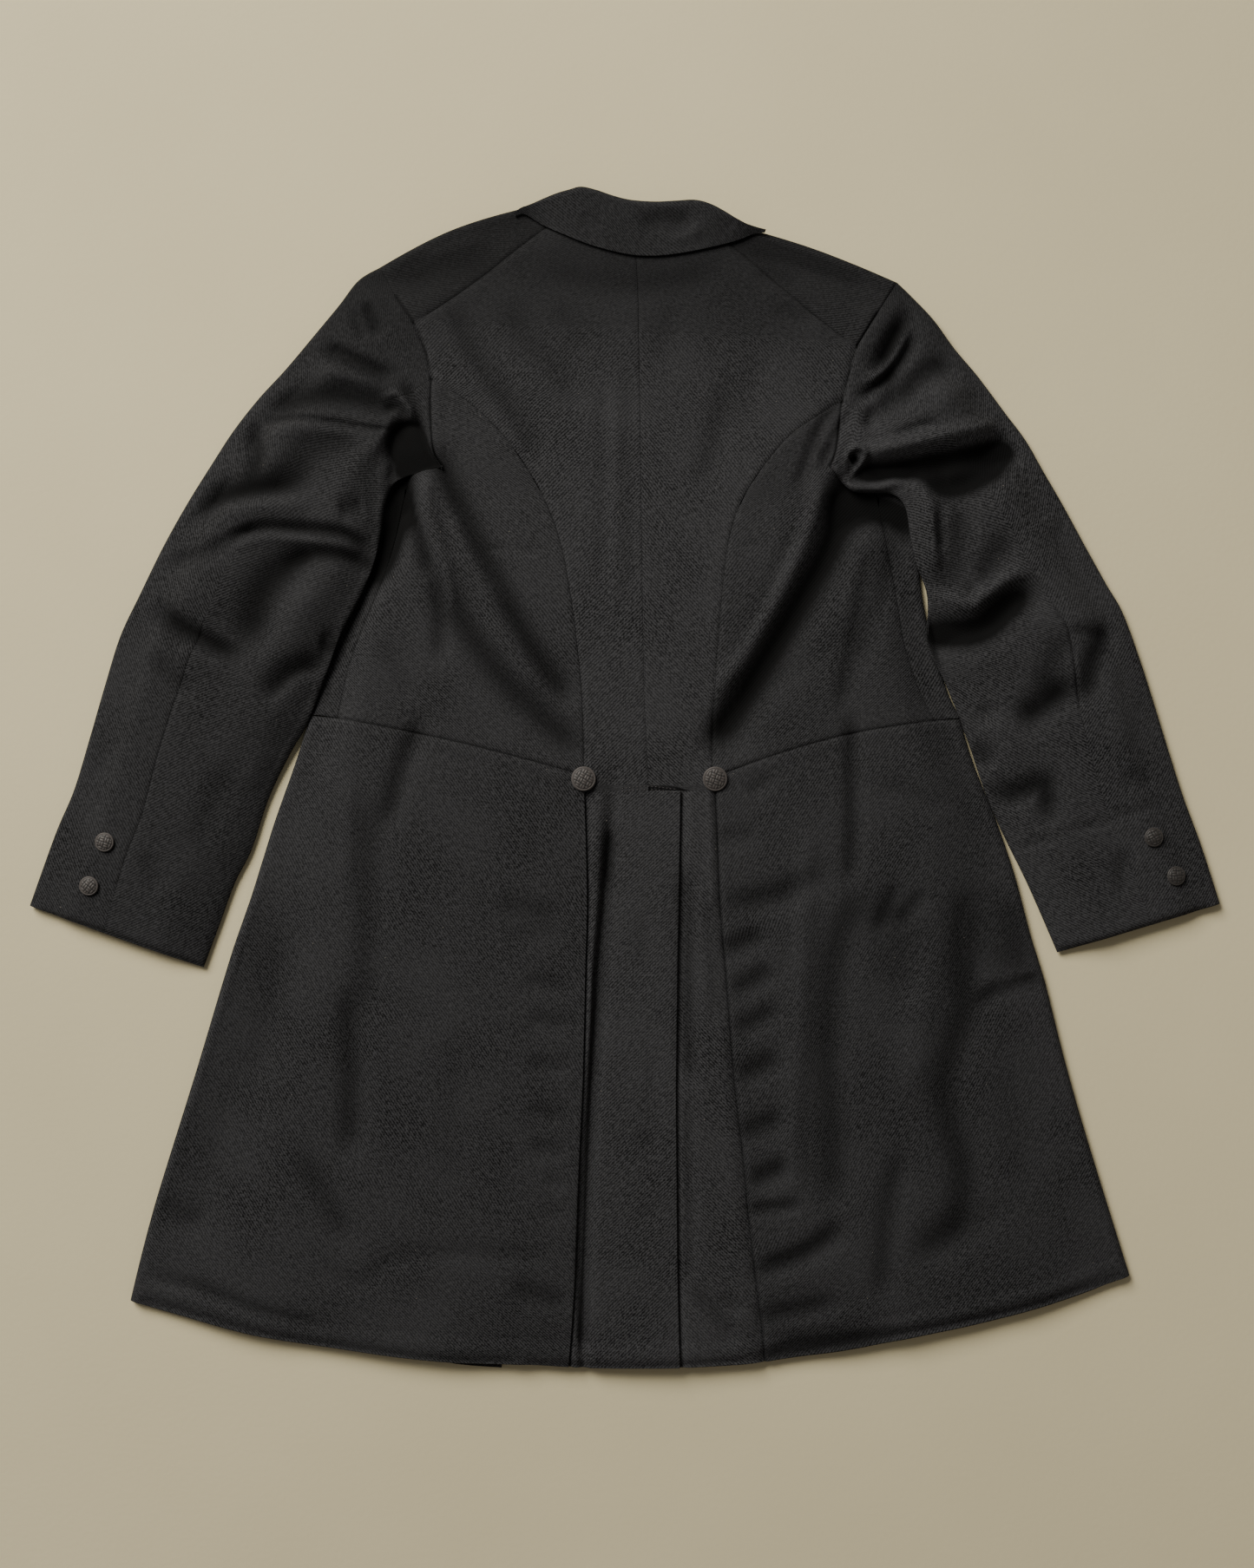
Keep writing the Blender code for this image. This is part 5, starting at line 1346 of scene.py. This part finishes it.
def wool_broadcloth(name, tone):
    """Milled wool broadcloth: a matte face with a short laid nap over a fine twill, which the eye
    reads as soft grain, a faint bloom where the cloth turns away, and a few specks of lint. Cloth
    whose nap runs the other way looks darker, which the tone gives."""
    made, tree, shader = new_material(name, 0.82, 0.1, 0.06)
    light = shade(WOOL_GREY, tone)
    shader.inputs["Sheen Roughness"].default_value = 0.45
    shader.inputs["Sheen Tint"].default_value = linear("#B4B4B6")
    uv = add(tree, "UVMap", "UV", {}, uv_map="Cloth")
    place = add(tree, "TexCoord", "Object", {})

    def woven(across, along):
        """Places on the cloth, with so many units to a metre across it and along it."""
        return add(tree, "Mapping", "Vector", {"Vector": uv, "Scale": (across, along, 1000)})

    cloth_mm = woven(1000, 1000)
    # The twill's ribs are 0.7 mm apart on the real cloth. They are drawn 1.5 mm apart so that they show.
    ribs = {"Vector": cloth_mm, "Scale": 0.21, "Distortion": 2.0, "Detail": 2.0, "Detail Scale": 2.5}
    twill = add(tree, "TexWave", "Fac", ribs, wave_type="BANDS", bands_direction="DIAGONAL")
    # Fibres of the nap, about 1 mm long and lying down the coat.
    nap = noise(tree, woven(1500, 650), 1.0, 3.0, 0.65)
    # Uneven yarns show as short streaks, 1.4 mm wide, along the cloth and across it.
    warp = noise(tree, woven(700, 230), 1.0, 1.5)
    weft = noise(tree, woven(230, 700), 1.0, 1.5)
    yarns = join(tree, warp, "ADD", weft)
    grain = join(tree, join(tree, nap, "MULTIPLY", twill), "ADD", yarns)
    colour = mix_colour(tree, ranged(tree, grain, 0.95, 1.55), shade("#060607", tone), light)
    # Handling leaves the nap lighter and darker in patches about 60 mm wide.
    patches = noise(tree, place, 16.0, 3.0, 0.55)
    colour = mix_colour(tree, ranged(tree, patches, 0.35, 0.65, 0.0, 0.35), colour, light)
    # Lint lies as pale specks about 0.7 mm across, 25 mm apart or more.
    lint = {"Vector": cloth_mm, "Scale": 0.045, "Randomness": 1.0}
    away = add(tree, "TexVoronoi", "Distance", lint)
    colour = mix_colour(tree, ranged(tree, away, 0.012, 0.02, 0.55, 0.0), colour, linear("#8C857A"))
    # Painted shade darkens the cloth over the shoulders, towards the top of the coat.
    height = add(tree, "SeparateXYZ", "Y", {"Vector": place})
    upper = ranged(tree, height, 0.28, 0.44, 0.0, 0.6, "SMOOTHSTEP")
    colour = mix_colour(tree, upper, colour, shade(SHADE_BLACK, tone))
    # Painted shade: cloth deep in a fold or a seam's groove is darkened towards black.
    depth = add(tree, "Attribute", "Fac", {}, attribute_name="Painted shade")
    colour = mix_colour(tree, depth, colour, shade(SHADE_BLACK, tone * 0.25))
    tree.links.new(colour, shader.inputs["Base Color"])
    tree.links.new(ranged(tree, patches, 0.0, 1.0, 0.74, 0.9), shader.inputs["Roughness"])
    ribbed = bump(tree, 0.35, 0.0004, twill)
    tree.links.new(bump(tree, 0.5, 0.0006, nap, Normal=ribbed), shader.inputs["Normal"])
    return made


def woven_mohair(name, tone):
    """Buttons covered in woven mohair braid: rounder, glossier threads than the cloth's, browner
    than the coat, with painted shade darkening the gaps between cords."""
    made, tree, shader = new_material(name, 0.55, 0.35, 0.1)
    place = add(tree, "TexCoord", "Object", {})
    # Threads of the braid, 0.4 mm apart.
    threads = noise(tree, place, 1600.0, 2.0)
    colour = mix_colour(tree, threads, shade("#2E2A29", tone), shade("#514B48", tone))
    # Painted shade: the gaps between the cords are darkened towards black.
    gap = add(tree, "Attribute", "Fac", {}, attribute_name="Painted gap shade")
    tree.links.new(mix_colour(tree, gap, colour, linear("#080808")), shader.inputs["Base Color"])
    tree.links.new(bump(tree, 0.4, 0.0002, threads), shader.inputs["Normal"])
    return made


def silk_twist():
    """Silk sewing twist: tight, smooth and a little shiny, black, with a fine spiral."""
    made, tree, shader = new_material("silk twist", 0.45, 0.5, 0.0)
    place = add(tree, "TexCoord", "Object", {})
    spiral = add(tree, "TexWave", "Fac", {"Vector": place, "Scale": 500.0}, bands_direction="DIAGONAL")
    colour = mix_colour(tree, spiral, linear("#1B191A"), linear("#353131"))
    tree.links.new(colour, shader.inputs["Base Color"])
    return made


def floor_plaster():
    """Plain pale plaster floor, trowelled and dusty: matte, with broad faint clouds of tone."""
    made, tree, shader = new_material("pale trowelled plaster", 0.9, 0.2, 0.0)
    place = add(tree, "TexCoord", "Object", {})
    clouds = noise(tree, place, 2.5, 5.0, 0.55)
    colour = mix_colour(tree, clouds, linear("#B5AB8B"), linear("#C3BA9A"))
    tree.links.new(colour, shader.inputs["Base Color"])
    grit = noise(tree, place, 220.0, 4.0)
    tree.links.new(bump(tree, 0.12, 0.001, grit), shader.inputs["Normal"])
    return made


def make_floor():
    bm = bmesh.new()
    bmesh.ops.create_grid(bm, x_segments=1, y_segments=1, size=FLOOR_HALF)
    new_piece("floor", bm, floor_plaster())


def make_light(name, place, size, watts, colour):
    """A soft square lamp, aimed at the middle of the coat."""
    lamp = bpy.data.lights.new(name, "AREA")
    lamp.shape = "SQUARE"
    lamp.size = size
    lamp.energy = watts
    lamp.color = linear(colour)[:3]
    made = bpy.data.objects.new(name, lamp)
    made.location = place
    made.rotation_euler = (-Vector(place)).to_track_quat("-Z", "Y").to_euler()
    bpy.context.collection.objects.link(made)


def make_room():
    """Pale light from all round."""
    world = bpy.data.worlds.new("room")
    world.use_nodes = True
    sky = world.node_tree.nodes["Background"]
    sky.inputs["Color"].default_value = linear("#DADADA")
    sky.inputs["Strength"].default_value = ROOM_LIGHT
    bpy.context.scene.world = world


def make_camera():
    """Straight above the coat, as high as its lens needs for the photograph's frame."""
    lens = bpy.data.cameras.new("camera")
    lens.lens = LENS
    lens.sensor_width = SENSOR
    lens.clip_end = 100
    camera = bpy.data.objects.new("camera", lens)
    camera.location = Vector((VIEW_MIDDLE[0], VIEW_MIDDLE[1], VIEW_LENGTH * LENS / SENSOR)) * MM
    bpy.context.collection.objects.link(camera)
    bpy.context.scene.camera = camera


OUTLINE = body_outline("left") + body_outline("right")
HOLLOW_LINE = ([y for y in range(-500, 500, 4)], [curve(HOLLOW, y) for y in range(-500, 500, 4)])
HEM_LINE = ([x for x in range(-440, 440, 4)], [curve(HEM, x) for x in range(-440, 440, 4)])
SEAMS = [(dense(line, 4), 1.5) for line in SHOULDER.values()]
SEAMS += [(dense(line, 4), 1.1) for seams in (BACK_SEAM, SIDE_SEAM) for line in seams.values()]
SEAMS += [(dense(line, 4), 1.8) for line in WAIST.values()]
SEAMS += [(dense(line[1:], 4), 2.4) for line in ARMHOLE.values()]
SEAMS.append((dense(CENTRE_SEAM, 4), 0.7))
SEAMS.append((dense([row[:2] for row in SKIRT["right"][1:]]), 1.5))
for side, (first, last, deep) in HIND_SEAM.items():
    line = [flat(row[0:2]).lerp(flat(row[2:4]), row[4]) for row in SLEEVE[side][first : last + 1]]
    places = [value for point in line for value in seen_at(point)[:2]]
    SLEEVE_CREASES += ((HIND_SEAM_HALF, deep, 0, *places),)

WOOLS = {}
for names, cut, tone in (
    (("back_left", "back_right"), "", 0.9),
    (("side_back_left", "side_back_right"), ", side bodies", 0.78),
    (("skirt_left", "skirt_right"), ", skirts", 0.76),
    (("front_left", "lapel_left"), ", left front", 0.64),
    (("front_right", "lapel_right"), ", right front", 0.8),
    (("top_sleeve_left", "under_sleeve_left"), ", left sleeve", 0.64),
    (("top_sleeve_right", "under_sleeve_right"), ", right sleeve", 0.86),
    (("collar",), ", collar", 1.08),
):
    WOOLS.update(dict.fromkeys(names, wool_broadcloth("wool broadcloth" + cut, tone)))
BUTTON_CLOTH = woven_mohair("woven mohair braid", 0.78)
# The right cuff's buttons are made darker than the rest, as painted shade.
SHADED_CUFF_BUTTON = woven_mohair("woven mohair braid, right cuff, painted shade", 0.4)
CLOTHS = []

for side in ("left", "right"):
    make_back(side)
    make_side_back(side)
    make_front(side)
    make_lapel(side)
    make_skirt(side)
    make_sleeve(side)
make_collar()

for name, size, turn, cover in (
    ("hip_button_left", HIP_BUTTON, 0.5, BUTTON_CLOTH),
    ("hip_button_right", HIP_BUTTON, 0.35, BUTTON_CLOTH),
    ("cuff_button_left_1", CUFF_BUTTON, 0.3, BUTTON_CLOTH),
    ("cuff_button_left_2", CUFF_BUTTON, 0.7, BUTTON_CLOTH),
    ("cuff_button_right_1", CUFF_BUTTON, 1.1, SHADED_CUFF_BUTTON),
    ("cuff_button_right_2", CUFF_BUTTON, 1.5, SHADED_CUFF_BUTTON),
):
    make_button(name, size, turn, cover)
make_stitches("vent_tack", VENT_TACK, 2.2, 0.9, (0.0, -2.6))

make_floor()
make_light("window", (-2.1, 2.6, 2.7), 2.4, 370, "#FFFBF2")
make_light("bounce", (1.8, -1.8, 1.6), 2.4, 6, "#FFDDB0")
make_room()
make_camera()
